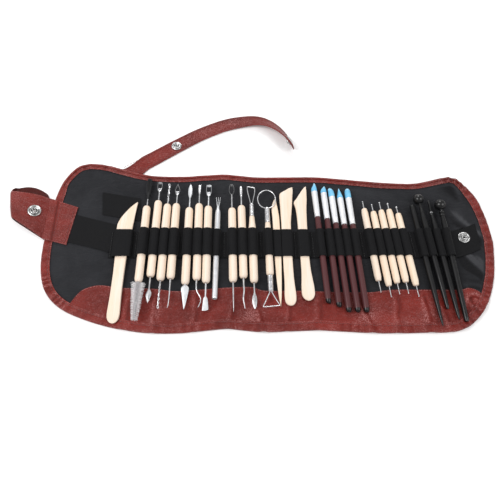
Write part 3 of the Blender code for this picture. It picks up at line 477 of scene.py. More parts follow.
class Shape:
    """A mesh being put together, in millimetres. A local one is in a tool's own frame, whose Y is down."""

    def __init__(self, local=True):
        self.points, self.faces, self.tones = [], [], []
        self.local = local

    def ring(self, points, tone=0.0):
        start = len(self.points)
        self.points += [tuple(p) for p in points]
        self.tones += [tone] * len(points) if np.isscalar(tone) else list(tone)
        return range(start, len(self.points))

    def skin(self, rings, closed=True):
        """Faces between neighbouring rings. A closed ring's last point joins its first."""
        for a, b in zip(rings, rings[1:]):
            count = len(a)
            for i in range(count if closed else count - 1):
                j = (i + 1) % count
                self.faces.append((a[i], b[i], b[j], a[j]))

    def solid(self, rings):
        """Closed body through rings, with one face over each end."""
        self.skin(rings)
        self.faces.append(tuple(rings[0]))
        self.faces.append(tuple(reversed(rings[-1])))

    def slab(self, tops, lows):
        """Sheet between rows of its top and of its underside, closed round its four edges."""
        self.skin(tops, closed=False)
        self.skin(lows, closed=False)
        for k in (0, -1):
            self.skin([tops[k], lows[k]], closed=False)
            self.skin([[row[k] for row in tops], [row[k] for row in lows]], closed=False)

    def stations(self, stations, sides=24, squareness=2.0, tone=None, longest=2.5):
        """Body through oval sections: (along, half width, half thickness, sideways, upwards)."""
        full = []
        for s in stations:
            s = list(s)
            full.append(s + [s[1]] * (len(s) == 2) + [0.0] * (5 - max(3, len(s))))
        across, up = oval(2 * np.pi * (np.arange(sides) + 0.5) / sides, squareness)
        rings = []
        for along, half_wide, half_thick, sideways, upwards in eased(full, longest):
            ring = np.column_stack([sideways + across * half_wide, -upwards - up * half_thick,
                                    np.full(sides, along)])
            rings.append(self.ring(ring, 0.0 if tone is None else tone(along)))
        self.solid(rings)

    def tube(self, path, radius, sides=8, closed=False, tone=0.0):
        """Round wire along a path of (sideways, upwards, along) points. The radius may be a list."""
        path = np.array(path, float)
        count = len(path)
        radii = np.broadcast_to(np.asarray(radius, float), (count,))
        ahead = np.roll(path, -1, 0) - np.roll(path, 1, 0)
        if not closed:
            ahead[0], ahead[-1] = path[1] - path[0], path[-1] - path[-2]
        ahead /= np.linalg.norm(ahead, axis=1)[:, None]
        side = np.cross(ahead[0], (0.31, 0.83, 0.47))
        turns = 2 * np.pi * np.arange(sides) / sides
        sections = []
        for p, a, r in zip(path, ahead, radii):
            side = side - a * (side @ a)
            side /= np.linalg.norm(side)
            other = np.cross(a, side)
            ring = p + r * (np.cos(turns)[:, None] * side + np.sin(turns)[:, None] * other)
            sections.append(ring * (1, -1, 1) if self.local else ring)
        rings = [self.ring(s, tone) for s in sections]
        if closed:
            end = np.array([self.points[i] for i in rings[-1]])
            first = np.array([self.points[i] for i in rings[0]])
            off = [np.linalg.norm(np.roll(first, -k, 0) - end, axis=1).sum() for k in range(sides)]
            shift = int(np.argmin(off))
            turned = [rings[0][(i + shift) % sides] for i in range(sides)]
            self.skin(rings)
            self.skin([rings[-1], turned])
        else:
            self.solid(rings)

    def strip(self, path, across, w, half_thick, tone):
        """Closed loop of flat strip. It reaches w to each side of its path, in the directions across."""
        ahead = np.roll(path, -1, 0) - np.roll(path, 1, 0)
        t = half_thick
        corners = ((-w, 0), (-w + t, -t), (w - t, -t), (w, 0), (w - t, t), (-w + t, t))
        rings = []
        for p, a, c in zip(path, ahead, np.array(across)):
            a = a / np.linalg.norm(a)
            c = c - a * (c @ a)
            c = c / np.linalg.norm(c)
            n = np.cross(a, c)
            rings.append(self.ring(np.array([p + c * u + n * v for u, v in corners]) * (1, -1, 1), tone))
        self.skin(rings + [rings[0]])

    def build(self, name, material, matrix=None, sharp=40.0, place=None):
        """Object from the shape, which is in millimetres in the frame of the matrix."""
        mesh = bpy.data.meshes.new(name)
        bm = bmesh.new()
        verts = [bm.verts.new(Vector(p) * MM) for p in self.points]
        for f in self.faces:
            bm.faces.new([verts[i] for i in f])
        bmesh.ops.recalc_face_normals(bm, faces=bm.faces)
        bm.to_mesh(mesh)
        bm.free()
        mesh.shade_smooth()
        if sharp < 180:
            mesh.set_sharp_from_angle(angle=math.radians(sharp))
        spots = np.array(self.points if place is None else place, np.float32)
        mesh.attributes.new("place", "FLOAT_VECTOR", "POINT").data.foreach_set("vector", spots.ravel())
        tones = np.array(self.tones, np.float32)
        mesh.attributes.new("tone", "FLOAT", "POINT").data.foreach_set("value", tones)
        mesh.materials.append(material)
        made = bpy.data.objects.new(name, mesh)
        bpy.context.scene.collection.objects.link(made)
        if matrix is not None:
            made.matrix_world = matrix
        return made


def finished(shape, name, material, body=None, nodes=(), matrix=None, sharp=40.0, place=None):
    """Builds a shape, rides it on its body, and has it stand for its CAD nodes."""
    made = shape.build(name, material, matrix, sharp, place)
    if body is not None:
        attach(made, body)
    if nodes:
        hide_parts(*nodes)
    return made


def wave(x, y, scale, seed):
    """Smooth noise from about -1 to 1 at each place, with features about this many millimetres across."""
    places = zip(np.ravel(x), np.ravel(y))
    values = [noise.noise(Vector((a / scale, b / scale, seed))) for a, b in places]
    return np.array(values).reshape(np.shape(x))


# ---------------------------------------------------------------- the case's shape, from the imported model

def node_points(*names):
    """Vertices of CAD nodes, in millimetres."""
    return np.vstack([np.array([v.co for v in frame["nodes"][n].data.vertices]) for n in names]) / MM


def joint_of(body):
    return next(j for j in frame["joints"] if j["child"] == body)


AROUND = 720
CENTRE = np.array((0.0, 8.0))
SPREAD = np.array((252.0, 100.0))
rim_points = node_points("outer_cover", "end_flap")
rim_points = rim_points[np.abs(rim_points[:, 2] - 0.7) < 0.05][:, :2]
bearing = np.arctan2(*((rim_points - CENTRE) / SPREAD).T[::-1])
rim_points = rim_points[np.argsort(bearing)]
rim_points = rim_points[np.linalg.norm(rim_points - np.roll(rim_points, 1, 0), axis=1) > 1.0]
rim_fine = smooth_path(rim_points, 12, closed=True)
fine_bearing = np.unwrap(np.arctan2(*((rim_fine - CENTRE) / SPREAD).T[::-1]))
bearings = 2 * np.pi * np.arange(AROUND) / AROUND
OUTLINE = np.column_stack([
    np.interp(bearings, fine_bearing, rim_fine[:, k], period=2 * np.pi) for k in (0, 1)])
tangent = np.roll(OUTLINE, -2, 0) - np.roll(OUTLINE, 2, 0)
tangent /= np.linalg.norm(tangent, axis=1)[:, None]
INWARD = np.column_stack([-tangent[:, 1], tangent[:, 0]])
ARC = run_along(OUTLINE)
CORNER = np.linalg.norm(np.roll(tangent, -14, 0) - np.roll(tangent, 14, 0), axis=1)
NEAR_SIDE = smoothstep(-50.0, -66.0, OUTLINE[:, 1])
FAR_SIDE = smoothstep(70.0, 88.0, OUTLINE[:, 1])
RIM_WIDTH = 10.0 - 2.2 * FAR_SIDE + 0.5 * wave(OUTLINE[:, 0], OUTLINE[:, 1], 24.0, 3.1)
RIM_TOP = 3.4  # height of the turned edge over the table where the case lies flat
POCKET_STEP = 0.75 * NEAR_SIDE  # how much higher the turned edge is where the pocket is under it


def blended(made):
    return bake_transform(made)


# Height that the fabric may rise to under and beside the tools, also while they are drawn out

CELL = 2.0
GRID_X = np.arange(-310, 262, CELL)
GRID_Y = np.arange(-130, 205, CELL)
TOOL_BODIES = [j["child"] for j in frame["joints"] if j["type"] == "slide"]
headroom = np.full((len(GRID_X), len(GRID_Y)), 40.0)
for body in TOOL_BODIES:
    for node in frame["record"]["behaviour"]["bodies"][body]:
        mesh = frame["nodes"][node].data
        spots = node_points(node)
        samples = [spots]
        for edge in mesh.edges:
            a, b = spots[edge.vertices[0]], spots[edge.vertices[1]]
            steps = int(np.linalg.norm(a - b) / 1.5)
            if steps:
                samples.append(a + (b - a) * (np.arange(1, steps + 1) / (steps + 1))[:, None])
        spots = np.vstack(samples)
        low_spots = spots[spots[:, 2] < 12.0]
        axis, travel = np.array(joint_of(body)["axis"]), joint_of(body)["range_m"][1] / MM
        for drawn in np.arange(0.0, travel + 2.0, 2.5):
            moved = spots if drawn == 0.0 else low_spots + axis * min(drawn, travel)
            column = np.clip(np.round((moved[:, 0] - GRID_X[0]) / CELL).astype(int), 0, len(GRID_X) - 1)
            row = np.clip(np.round((moved[:, 1] - GRID_Y[0]) / CELL).astype(int), 0, len(GRID_Y) - 1)
            np.minimum.at(headroom, (column, row), moved[:, 2] - 0.45)
for _ in range(30):
    for dx, dy in ((1, 0), (-1, 0), (0, 1), (0, -1), (1, 1), (-1, 1), (1, -1), (-1, -1)):
        moved = np.roll(headroom, (dx, dy), (0, 1)) + 0.8 * CELL * math.hypot(dx, dy)
        headroom = np.minimum(headroom, moved)


def room_at(x, y):
    """Highest fabric allowed at each place."""
    u = np.clip((np.asarray(x) - GRID_X[0]) / CELL, 0, len(GRID_X) - 1.001)
    v = np.clip((np.asarray(y) - GRID_Y[0]) / CELL, 0, len(GRID_Y) - 1.001)
    i, j = u.astype(int), v.astype(int)
    fu, fv = u - i, v - j
    return ((1 - fu) * (1 - fv) * headroom[i, j] + fu * (1 - fv) * headroom[i + 1, j]
            + (1 - fu) * fv * headroom[i, j + 1] + fu * fv * headroom[i + 1, j + 1])


band_low, band_high = (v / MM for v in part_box("elastic_band"))

# Soft ridges of the case along Y: (x, width, height, lean of the ridge)
RIDGES = [(-11.0, 4.0, 3.6, -0.30), (-121.0, 2.8, 2.2, 0.02), (101.0, 3.6, 3.4, -0.35),
          (166.0, 3.6, 3.2, -0.10), (-78.0, 4.0, 1.6, 0.0), (134.0, 5.0, 1.8, 0.1), (206.0, 4.0, 2.8, 0.3),
          (52.0, 6.0, 1.2, 0.0), (-40.0, 4.0, 1.3, 0.12), (20.0, 3.0, 1.3, 0.15), (-150.0, 5.0, 1.5, 0.1),
          (184.0, 3.0, 1.6, -0.25)]


def swell(x, y):
    """How far the whole case rises off the table at each place."""
    x, y = np.asarray(x, float), np.asarray(y, float)
    rise = 0.55 * np.clip(wave(x, y, 46.0, 1.7) + 0.25, 0, 1)
    rise += 0.30 * np.clip(wave(x, y, 19.0, 5.2) + 0.2, 0, 1)
    for middle, width, height, lean in RIDGES:
        line = middle + lean * (y + 78.0)
        across = (x - line) / (width * (1 + 0.25 * np.clip((y + 95.0) / 40.0, 0, 1)))
        rise += height * np.exp(-across ** 2) * smoothstep(-52.0, -74.0, y)
    left = smoothstep(-196.0, -226.0, x)
    rise += left * 1.5 * np.clip(wave(x, y * 0.5, 32.0, 8.8) + 0.15, 0, 1)
    right = smoothstep(206.0, 226.0, x)
    slanted = wave(x + 0.5 * y, (y - 0.6 * x) * 0.35, 15.0, 2.4)
    rise += right * 3.2 * np.clip(slanted + 0.1, 0, 1)
    rise += 3.2 * np.exp(-((x + 222) / 26) ** 2 - ((y - 112) / 20) ** 2)
    rise += 3.0 * np.exp(-((x - 226) / 18) ** 2 - ((y - 92) / 15) ** 2)
    far = np.hypot(x - 216.0, y + 66.0)
    swirl = np.sin(far * 0.75 + 2.2 * np.arctan2(y + 66.0, x - 216.0))
    rise += 1.1 * np.exp(-(far / 17.0) ** 2) * (swirl + 1.0)
    under_band = smoothstep(band_low.y - 12, band_low.y, y) * smoothstep(band_high.y + 12, band_high.y, y)
    under_band *= smoothstep(band_low.x - 14, band_low.x, x) * smoothstep(218.0, 204.0, x)
    return rise * (1 - 0.92 * under_band)


def laid(x, y, base):
    """Height of a layer of the case whose place in the stack is base, kept under the tools."""
    return np.minimum(base + swell(x, y), np.maximum(room_at(x, y) - (RIM_TOP - base) * 0.8, base * 0.9))


SHARES = np.concatenate([np.linspace(1.0, 0.12, 27), [0.06, 0.03]])
seam_ring = OUTLINE + INWARD * 13.0


def inner_ring(share):
    """The case's outline drawn in towards its middle line."""
    factors = np.array((0.66 + 0.34 * share, share))
    return CENTRE + (seam_ring - CENTRE) * factors


def closing_faces(shape, ring):
    """Closes a ring that has shrunk to a thin slot, from one side of the slot to the other."""
    for k in range(1, AROUND // 2 - 1):
        shape.faces.append((ring[k], ring[k + 1], ring[AROUND - k - 1], ring[AROUND - k]))
    shape.faces.append((ring[0], ring[1], ring[AROUND - 1]))
    half = AROUND // 2
    shape.faces.append((ring[half - 1], ring[half], ring[half + 1]))


# Where the turned edge is gathered into puckers: (x, y, reach)
GATHERS = [(-212.0, 108.0, 38.0), (-240.0, -55.0, 28.0), (226.0, 86.0, 40.0), (228.0, -66.0, 26.0),
           (-12.0, -92.0, 12.0), (98.0, -94.0, 14.0), (246.0, 20.0, 20.0)]


def leather_cover():
    """Outside of the case, one piece of leather whose edge is turned over the lining all round."""
    shape = Shape()
    x, y = OUTLINE[:, 0], OUTLINE[:, 1]
    gathered = np.full(AROUND, 0.35)
    for middle_x, middle_y, reach in GATHERS:
        gathered += 0.95 * np.exp(-((x - middle_x) ** 2 + (y - middle_y) ** 2) / reach ** 2)
    pucker = np.sin(ARC * 2 * np.pi / 9.0 + 5.0 * wave(x, y, 15.0, 6.6))
    pucker *= gathered * np.clip(0.75 + 1.1 * wave(x, y, 13.0, 2.7), 0.15, 1.3)
    pucker = pucker * (0.45 + 0.55 * np.clip(CORNER * 1.3 - 0.25, 0, 1)) + 0.55 * wave(x, y, 6.0, 9.1)
    # folds is painted highlight and painted shade along the puckers of the turned edge
    folds = np.clip(pucker * 0.75, -0.42, 0.55)
    rings = []

    def level(inset, height, crease=0.0, over=False, tone=0.0):
        spot = OUTLINE + INWARD * (inset if np.ndim(inset) == 0 else np.asarray(inset)[:, None])
        base = height + (POCKET_STEP if over else 0.0)
        z = laid(spot[:, 0], spot[:, 1], base) + crease * pucker
        if over:
            z = np.minimum(z, np.maximum(room_at(spot[:, 0], spot[:, 1]) - (RIM_TOP - height) * 0.5, 1.4))
        rings.append(shape.ring(np.column_stack([spot, np.maximum(z, 0.0)]),
                                tone + (folds if over else 0.0)))

    for share in SHARES[::-1]:
        spot = inner_ring(share)
        rings.append(shape.ring(np.column_stack([spot, laid(spot[:, 0], spot[:, 1], 0.12)])))
    for inset, height in ((9.0, 0.10), (6.0, 0.08), (3.5, 0.06), (2.0, 0.10), (1.1, 0.30), (0.45, 0.75)):
        level(inset, height)
    # edge makes the fold of the turned edge paler: painted highlight
    edge = 0.25 + 0.35 * wave(OUTLINE[:, 0], OUTLINE[:, 1], 9.0, 4.4) ** 2
    level(0.08, 1.25, 0.2, tone=edge)
    level(0.0, 1.75, 0.3, tone=edge + 0.15)
    level(0.12, 2.3, 0.5, tone=edge + 0.15)
    level(0.55, 2.85, 0.8, True, edge + 0.2)
    level(1.3, 3.2, 1.0, True, edge)
    level(2.4, 3.42, 1.1, True, edge * 0.5)
    level(3.8, 3.45, 1.0, True, 0.1)
    # the tones rise towards the turned edge's inner edge: painted highlight there
    level(RIM_WIDTH - 4.4, 3.3, 0.9, True, 0.06)
    level(RIM_WIDTH - 3.0, 3.05, 0.5, True, 0.1)
    level(RIM_WIDTH - 2.4, 2.86, 0.3, True, 0.15)
    level(RIM_WIDTH - 1.8, 3.02, 0.4, True, 0.2)
    level(RIM_WIDTH - 0.9, 3.15, 0.6, True, 0.35)
    level(RIM_WIDTH - 0.25, 3.02, 0.6, True, 0.7)
    level(RIM_WIDTH, 2.75, 0.5, True, 0.8)
    level(RIM_WIDTH - 0.05, 2.42, 0.3, True, 0.3)
    level(RIM_WIDTH - 0.6, 2.3, 0.0, True)
    level(6.2, 2.25, 0.0, True)
    level(6.0, 1.3)
    level(9.0, 1.05)
    for share in SHARES:
        spot = inner_ring(share)
        rings.append(shape.ring(np.column_stack([spot, laid(spot[:, 0], spot[:, 1], 0.85)])))
    shape.skin(rings)
    closing_faces(shape, rings[0])
    closing_faces(shape, rings[-1])
    return blended(finished(shape, "leather_cover", LEATHER, None, ("outer_cover", "end_flap"),
                            sharp=180))


def wrinkle(x, y):
    """Small creases of the lining, mostly across the fold and towards the corners."""
    fine = wave(x * 0.6 + y * 0.8, y * 0.45 - x * 0.3, 9.0, 7.3)
    broad = wave(x, y * 0.6, 21.0, 3.9)
    return 0.16 * fine + 0.22 * broad - 0.25 * np.exp(-(np.abs(wave(x, y, 38.0, 6.2)) / 0.035) ** 2)


# Places of painted shade and painted light on the lining: (x, y, half width, half height, how much darker)
PAINTED_SHADE_AND_LIGHT = [(205.0, -38.0, 34.0, 24.0, 0.5), (-150.0, 62.0, 20.0, 28.0, 0.38),
          (-143.0, -26.0, 24.0, 18.0, 0.35), (105.0, 80.0, 50.0, 24.0, -0.3),
          (-225.0, -5.0, 26.0, 24.0, -0.08)]


def lining_sheet():
    """Fabric over the whole inside of the case, with its edge under the turned leather."""
    shape = Shape()
    rings = []

    def layer(spot, base, crease):
        x, y = spot[:, 0], spot[:, 1]
        z = laid(x, y, base) + crease * np.maximum(wrinkle(x, y), -0.3)
        # the tone is painted shade and light: a little darker to the right, darker or paler by the slope of the
        # swell, and in the listed places
        slope = swell(x + 1.6, y + 1.0) - swell(x - 1.6, y - 1.0)
        right = smoothstep(190.0, 215.0, x)
        tone = 0.12 * smoothstep(-60.0, 60.0, x) + np.clip(slope * (0.3 + 1.7 * right), -0.8, 0.9)
        for middle_x, middle_y, wide, high, much in PAINTED_SHADE_AND_LIGHT:
            tone += much * np.exp(-((x - middle_x) / wide) ** 2 - ((y - middle_y) / high) ** 2)
        rings.append(shape.ring(np.column_stack([spot, z]), tone * crease))

    for share in SHARES[::-1]:
        layer(inner_ring(share), 1.35, 0.0)
    for inset in (11.0, 9.0, 7.4, 6.6):
        layer(OUTLINE + INWARD * inset, 1.4, 0.0)
    for inset in (6.6, 7.4, 9.0, 11.0):
        layer(OUTLINE + INWARD * inset, 1.95, 0.2)
    for share in SHARES:
        layer(inner_ring(share), 2.05, 1.0)
    shape.skin(rings)
    closing_faces(shape, rings[0])
    closing_faces(shape, rings[-1])
    return blended(finished(shape, "lining_sheet", LINING, None, ("lining",), sharp=180))


# Far edge of the leather pocket along the near side, from left to right
POCKET_FAR = [(-214.6, -68.4), (-211.7, -65.4), (-207.5, -58.5), (-200.5, -49.5), (-190, -44.8),
              (-179, -43.6), (-157, -46.5), (-124, -47.5), (-97, -50.2), (-54, -46.8), (-20, -45.4),
              (-5, -49.6), (31, -49.8), (70, -51.2), (107, -51.6), (132, -48.8), (170, -48.6), (205, -48.6),
              (214, -47.0), (222, -49.8), (228, -55.0), (232, -60)]


# Places of the pocket lightened both as wear and as painted highlight: (x, y, half width, half height, how much)
RUBBED_AND_GLINTING = [(-17.0, -78.0, 11.0, 13.0, 0.95), (104.0, -80.0, 12.0, 12.0, 0.9),
          (-118.0, -74.0, 5.0, 17.0, 0.8), (168.0, -76.0, 9.0, 16.0, 0.6), (140.0, -86.0, 15.0, 8.0, 0.5),
          (219.0, -62.0, 8.0, 9.0, 0.5)]


def pocket_wear_and_light(x, y):
    """Tone of the pocket's leather: paler places of wear and painted highlight, a painted highlight beside each
    crease and painted shade in it, and a swirl of painted highlight and shade at the right end.
    """
    tone = np.zeros_like(x)
    for middle_x, middle_y, wide, high, much in RUBBED_AND_GLINTING:
        up = y - middle_y
        tone += much * np.exp(-((x - middle_x - 0.3 * up) / wide) ** 2 - (up / high) ** 2)
    # painted highlight on one side of each crease and painted shade in it
    for middle, width, height, lean in RIDGES:
        off = x - middle - lean * (y + 78.0) + 1.5 * wave(x * 0.2, y, 9.0, 4.1)
        share = min(1.0, height / 3.0) * smoothstep(-50.0, -62.0, y)
        bright = 0.9 * np.exp(-((off + 0.5 * width) / 1.6) ** 2)
        tone += share * (bright - 0.75 * np.exp(-((off - 0.45 * width) / 1.9) ** 2))
    # a ring of painted highlight round painted shade
    around = np.hypot(x - 219.0, (y + 61.0) * 1.1)
    tone += 0.95 * np.exp(-((around - 8.5) / 1.5) ** 2) - 0.7 * np.exp(-((around - 5.0) / 2.0) ** 2)
    return tone


def near_pocket():
    """Leather pocket whose near and side edges are under the turned edge."""
    far = evenly(smooth_path(POCKET_FAR, 8), 2.0)
    count = len(far)
    inset = OUTLINE + INWARD * 6.6
    half = inset[inset[:, 1] < CENTRE[1]]
    half = half[np.argsort(half[:, 0])]
    start = int(np.argmin(np.linalg.norm(half - far[0], axis=1)))
    end = int(np.argmin(np.linalg.norm(half - far[-1], axis=1)))
    near = evenly(half[start:end + 1], 0.5)
    near = near[np.linspace(0, len(near) - 1, count).round().astype(int)]
    shares = np.concatenate([[0.0, 0.008, 0.02, 0.04, 0.07, 0.11], np.linspace(0.16, 1.0, 26)])
    shape = Shape()
    curl = 1.8 * np.exp(-((far[:, 0] - 219) / 9.0) ** 2)
    curl += 0.25 * (1 + wave(far[:, 0], far[:, 1], 12.0, 1.3))
    rings = []
    for side, rows in ((1, shares[::-1]), (0, shares)):
        for share in rows:
            spot = far + (near - far) * share
            lip = 0.42 * math.exp(-(share / 0.03) ** 2)
            base = (3.02 + lip * 0.55) if side else (2.3 - 0.1 * lip)
            if share == 0.0:
                base = 2.95 if side else 2.4
            z = laid(spot[:, 0], spot[:, 1], base) + curl * math.exp(-(share / 0.10) ** 2)
            if side:
                z = z + 0.12 * wave(spot[:, 0], spot[:, 1], 11.0, 2.2) * min(1.0, share * 8)
            z = np.minimum(z, room_at(spot[:, 0], spot[:, 1]) - (0.02 if side else 0.55))
            # the folded far edge is paler, a painted highlight, and the underside is the matt back, painted dark
            fold = 0.0 if share > 0.02 else 0.75
            tone = pocket_wear_and_light(spot[:, 0], spot[:, 1]) + fold
            rings.append(shape.ring(np.column_stack([spot, z]), np.clip(tone, -0.6, 1) if side else -0.8))
    shape.skin(rings, closed=False)
    # the two sides meet along the far edge and are closed at the near edge and both ends
    shape.skin([rings[0], rings[-1]], closed=False)
    half_rows = len(rings) // 2
    for k in (0, count - 1):
        column = [ring[k] for ring in rings]
        shape.skin([column[:half_rows], column[::-1][:half_rows]], closed=False)
    return blended(finished(shape, "pocket_leather", LEATHER, None, ("lower_pocket",),
                            sharp=180))


STITCH_PITCH, STITCH_LENGTH = 4.0, 2.9


def surface_stitches(name, path, heights, body):
    """Row of red stitches on a surface, each one dipping into it at both ends."""
    shape = Shape(local=False)
    path = np.column_stack([path[:, :2], heights])
    runs = run_along(path)
    share, lift = np.array(((0.0, -0.35), (0.18, 0.10), (0.5, 0.22), (0.82, 0.10), (1.0, -0.35))).T
    start = 1.0
    while start + STITCH_LENGTH < runs[-1] - 0.5:
        shape.tube(at_runs(start + STITCH_LENGTH * share, runs, path) + np.outer(lift, (0, 0, 1)), 0.3, 6)
        start += STITCH_PITCH
    return finished(shape, name, RED_THREAD, body, sharp=180)


cover = leather_cover()
lining = lining_sheet()
pocket = near_pocket()

seam = OUTLINE + INWARD * (RIM_WIDTH - 2.4)[:, None]
seam_height = laid(seam[:, 0], seam[:, 1], 2.86 + POCKET_STEP)
seam_height = np.minimum(seam_height, np.maximum(room_at(seam[:, 0], seam[:, 1]) - 0.62, 1.4)) + 0.12
seam = np.vstack([seam, seam[:1]])
rim_stitches = surface_stitches("rim_stitches", seam, np.append(seam_height, seam_height[0]), None)
blended(rim_stitches)


# ---------------------------------------------------------------- elastic band

WOOD_R, RIBBON_R, TUBE_R, SHAPER_R, STYLUS_R, BLACK_R = 4.4, 4.0, 3.1, 3.35, 3.7, 3.2
BAND_MIDDLE = (band_low.y + band_high.y) / 2
BAND_HALF = (band_high.y - band_low.y) / 2
BAND_UNDER, BAND_TOP = 2.45, 3.3
SKIN = 0.8
SEWN_GAP = 2.4  # the band is sewn down where two loops are further apart than this


def tool_frame(body):
    """Matrix of a tool's own frame: X to the right, Y down at the table, Z along it to its far end."""
    along = Vector(joint_of(body)["axis"]).normalized()
    along = -along if along.y < 0 else along
    node = frame["record"]["behaviour"]["bodies"][body][0]
    mesh = frame["nodes"][node].data
    cut = []
    for edge in mesh.edges:
        a, b = (mesh.vertices[i].co / MM for i in edge.vertices)
        if (a.y - BAND_MIDDLE) * (b.y - BAND_MIDDLE) < 0:
            cut.append(a.lerp(b, (BAND_MIDDLE - a.y) / (b.y - a.y)))
    low = Vector([min(p[k] for p in cut) for k in range(3)])
    high = Vector([max(p[k] for p in cut) for k in range(3)])
    side = Vector((along.y, -along.x, 0)).normalized()
    down = along.cross(side)
    turn = Matrix((side, down, along)).transposed().to_4x4()
    return Matrix.Translation((low + high) / 2 * MM) @ turn


TOOLS = {body: tool_frame(body) for body in TOOL_BODIES}

# What each loop holds: (body, half width, half thickness, squareness, spare height)
LOOP_SIZES = (
    [("wooden_knife", 9.2, 2.35, 4.0, 0.3), ("wire_brush", WOOD_R, WOOD_R, 2.0, 0.8)]
    + [(b, WOOD_R, WOOD_R, 2.0, 0.0) for b in (
        "diamond_blade", "twisted_wire", "hooked_needle", "spear_spatula", "bent_hook", "square_scraper")]
    + [("tube_fork", TUBE_R, TUBE_R, 2.0, 0.0)]
    + [(b, WOOD_R, WOOD_R, 2.0, 0.0) for b in ("spoon_needle", "bent_rod", "leaf_blade")]
    + [("ribbon_loop", RIBBON_R, RIBBON_R, 2.0, 0.0), ("pointed_stick", 4.0, 2.0, 4.0, 0.0),
       ("slanted_stick", 5.3, 2.4, 4.0, 0.0), ("hooked_stick", 5.3, 2.4, 4.0, 0.0)]
    + [(b, SHAPER_R, SHAPER_R, 2.0, 0.0) for b in (
        "chisel_shaper", "angle_shaper", "cup_shaper", "cone_shaper", "round_shaper")]
    + [(f"ball_stylus_{k}", STYLUS_R, STYLUS_R, 2.0, 0.0) for k in range(1, 6)]
    + [("black_taper_point", BLACK_R, BLACK_R, 2.0, 0.0), ("black_ball_end", BLACK_R, BLACK_R, 2.0, 0.6),
       ("black_needle_point", BLACK_R, BLACK_R, 2.0, 0.0), ("black_knob_end", BLACK_R, BLACK_R, 2.0, 0.6)])


def tail_shift(x):
    """How far the band's right end, past the last tool, bends to the far side."""
    return 12.0 * np.clip((np.asarray(x) - 205.0) / 34.0, 0, None) ** 1.5


def band_loops():
    """Each tool's loop: (x, slant in plan, height, half width, rise, squareness, tilt)."""
    loops = []
    for body, half, thick, squareness, spare in LOOP_SIZES:
        place = TOOLS[body]
        middle = place.translation / MM
        sideways, ahead, upwards = place.col[2][:3]
        loops.append((middle.x, sideways / ahead, middle.z, half + 0.4, thick + 0.4 + spare, squareness,
                      upwards / ahead))
    return loops


LOOPS = band_loops()


def band_profile():
    """Outline of the band from its side: (x, z, slant, lift), where lift is -1 on the underside."""
    upper, feet = [(band_low.x, BAND_TOP, 0.0, 0.0)], []
    steps = 22
    turns = np.pi * (1 - np.arange(steps + 1) / steps)
    for i, (x, slant, height, half, rise, squareness, _) in enumerate(LOOPS):
        left = LOOPS[i - 1] if i else None
        right = LOOPS[i + 1] if i + 1 < len(LOOPS) else None
        gap_left = (x - half) - (left[0] + left[3]) if left else 99.0
        gap_right = (right[0] - right[3]) - (x + half) if right else 99.0
        across, up = oval(turns, squareness)
        foot = [(SKIN, (BAND_TOP + height) / 2 + 0.4, 0.5), (SKIN + 0.5, BAND_TOP + 0.35, 0.1),
                (SKIN + 1.3, BAND_TOP, 0.0)]
        if gap_left > SEWN_GAP:
            upper += [(x - half - out, z, slant, lift) for out, z, lift in reversed(foot)]
        low = x - half - (gap_left / 2 if gap_left <= SEWN_GAP else 9)
        high = x + half + (gap_right / 2 if gap_right <= SEWN_GAP else 9)
        for a, u in zip(across, up):
            if low + 0.25 < x + a * (half + SKIN) < high - 0.25:
                upper.append((x + a * (half + SKIN), height + u * (rise + SKIN), slant, 1.0))
        if gap_right > SEWN_GAP:
            upper += [(x + half + out, z, slant, lift) for out, z, lift in foot]
            if right:
                span = gap_right - 2 * SKIN - 2.6
                for u, dip in ((0.35, 0.0), (0.5, -0.28), (0.65, 0.0)):
                    upper.append((x + half + SKIN + 1.3 + span * u, BAND_TOP + dip,
                                  slant + (right[1] - slant) * u, 0.0))
        else:
            crease = x + half + gap_right / 2
            upper.append((crease, min(height, right[2]) + 0.55, (slant + right[1]) / 2, 0.6))
        inner = [(x + a * half, height + u * rise, slant, -1.0) for a, u in zip(across, up)]
        feet.append([(inner[0][0], BAND_UNDER, slant, -1.0), *inner,
                     (inner[-1][0], BAND_UNDER, slant, -1.0)])
    last = LOOPS[-1]
    start, end = last[0] + last[3] + SKIN + 1.3, band_high.x + 5.0
    tail = [(start + (end - start) * u, last[1] * (1 - u)) for u in np.linspace(0.15, 1.0, 12)]
    upper += [(x, BAND_TOP, slant, 0.0) for x, slant in tail]
    under = [(x, BAND_UNDER, slant, -1.0) for x, slant in reversed(tail)]
    for notch in reversed(feet):
        under += reversed(notch)
    return upper + under + [(band_low.x, BAND_UNDER, 0.0, -1.0)]


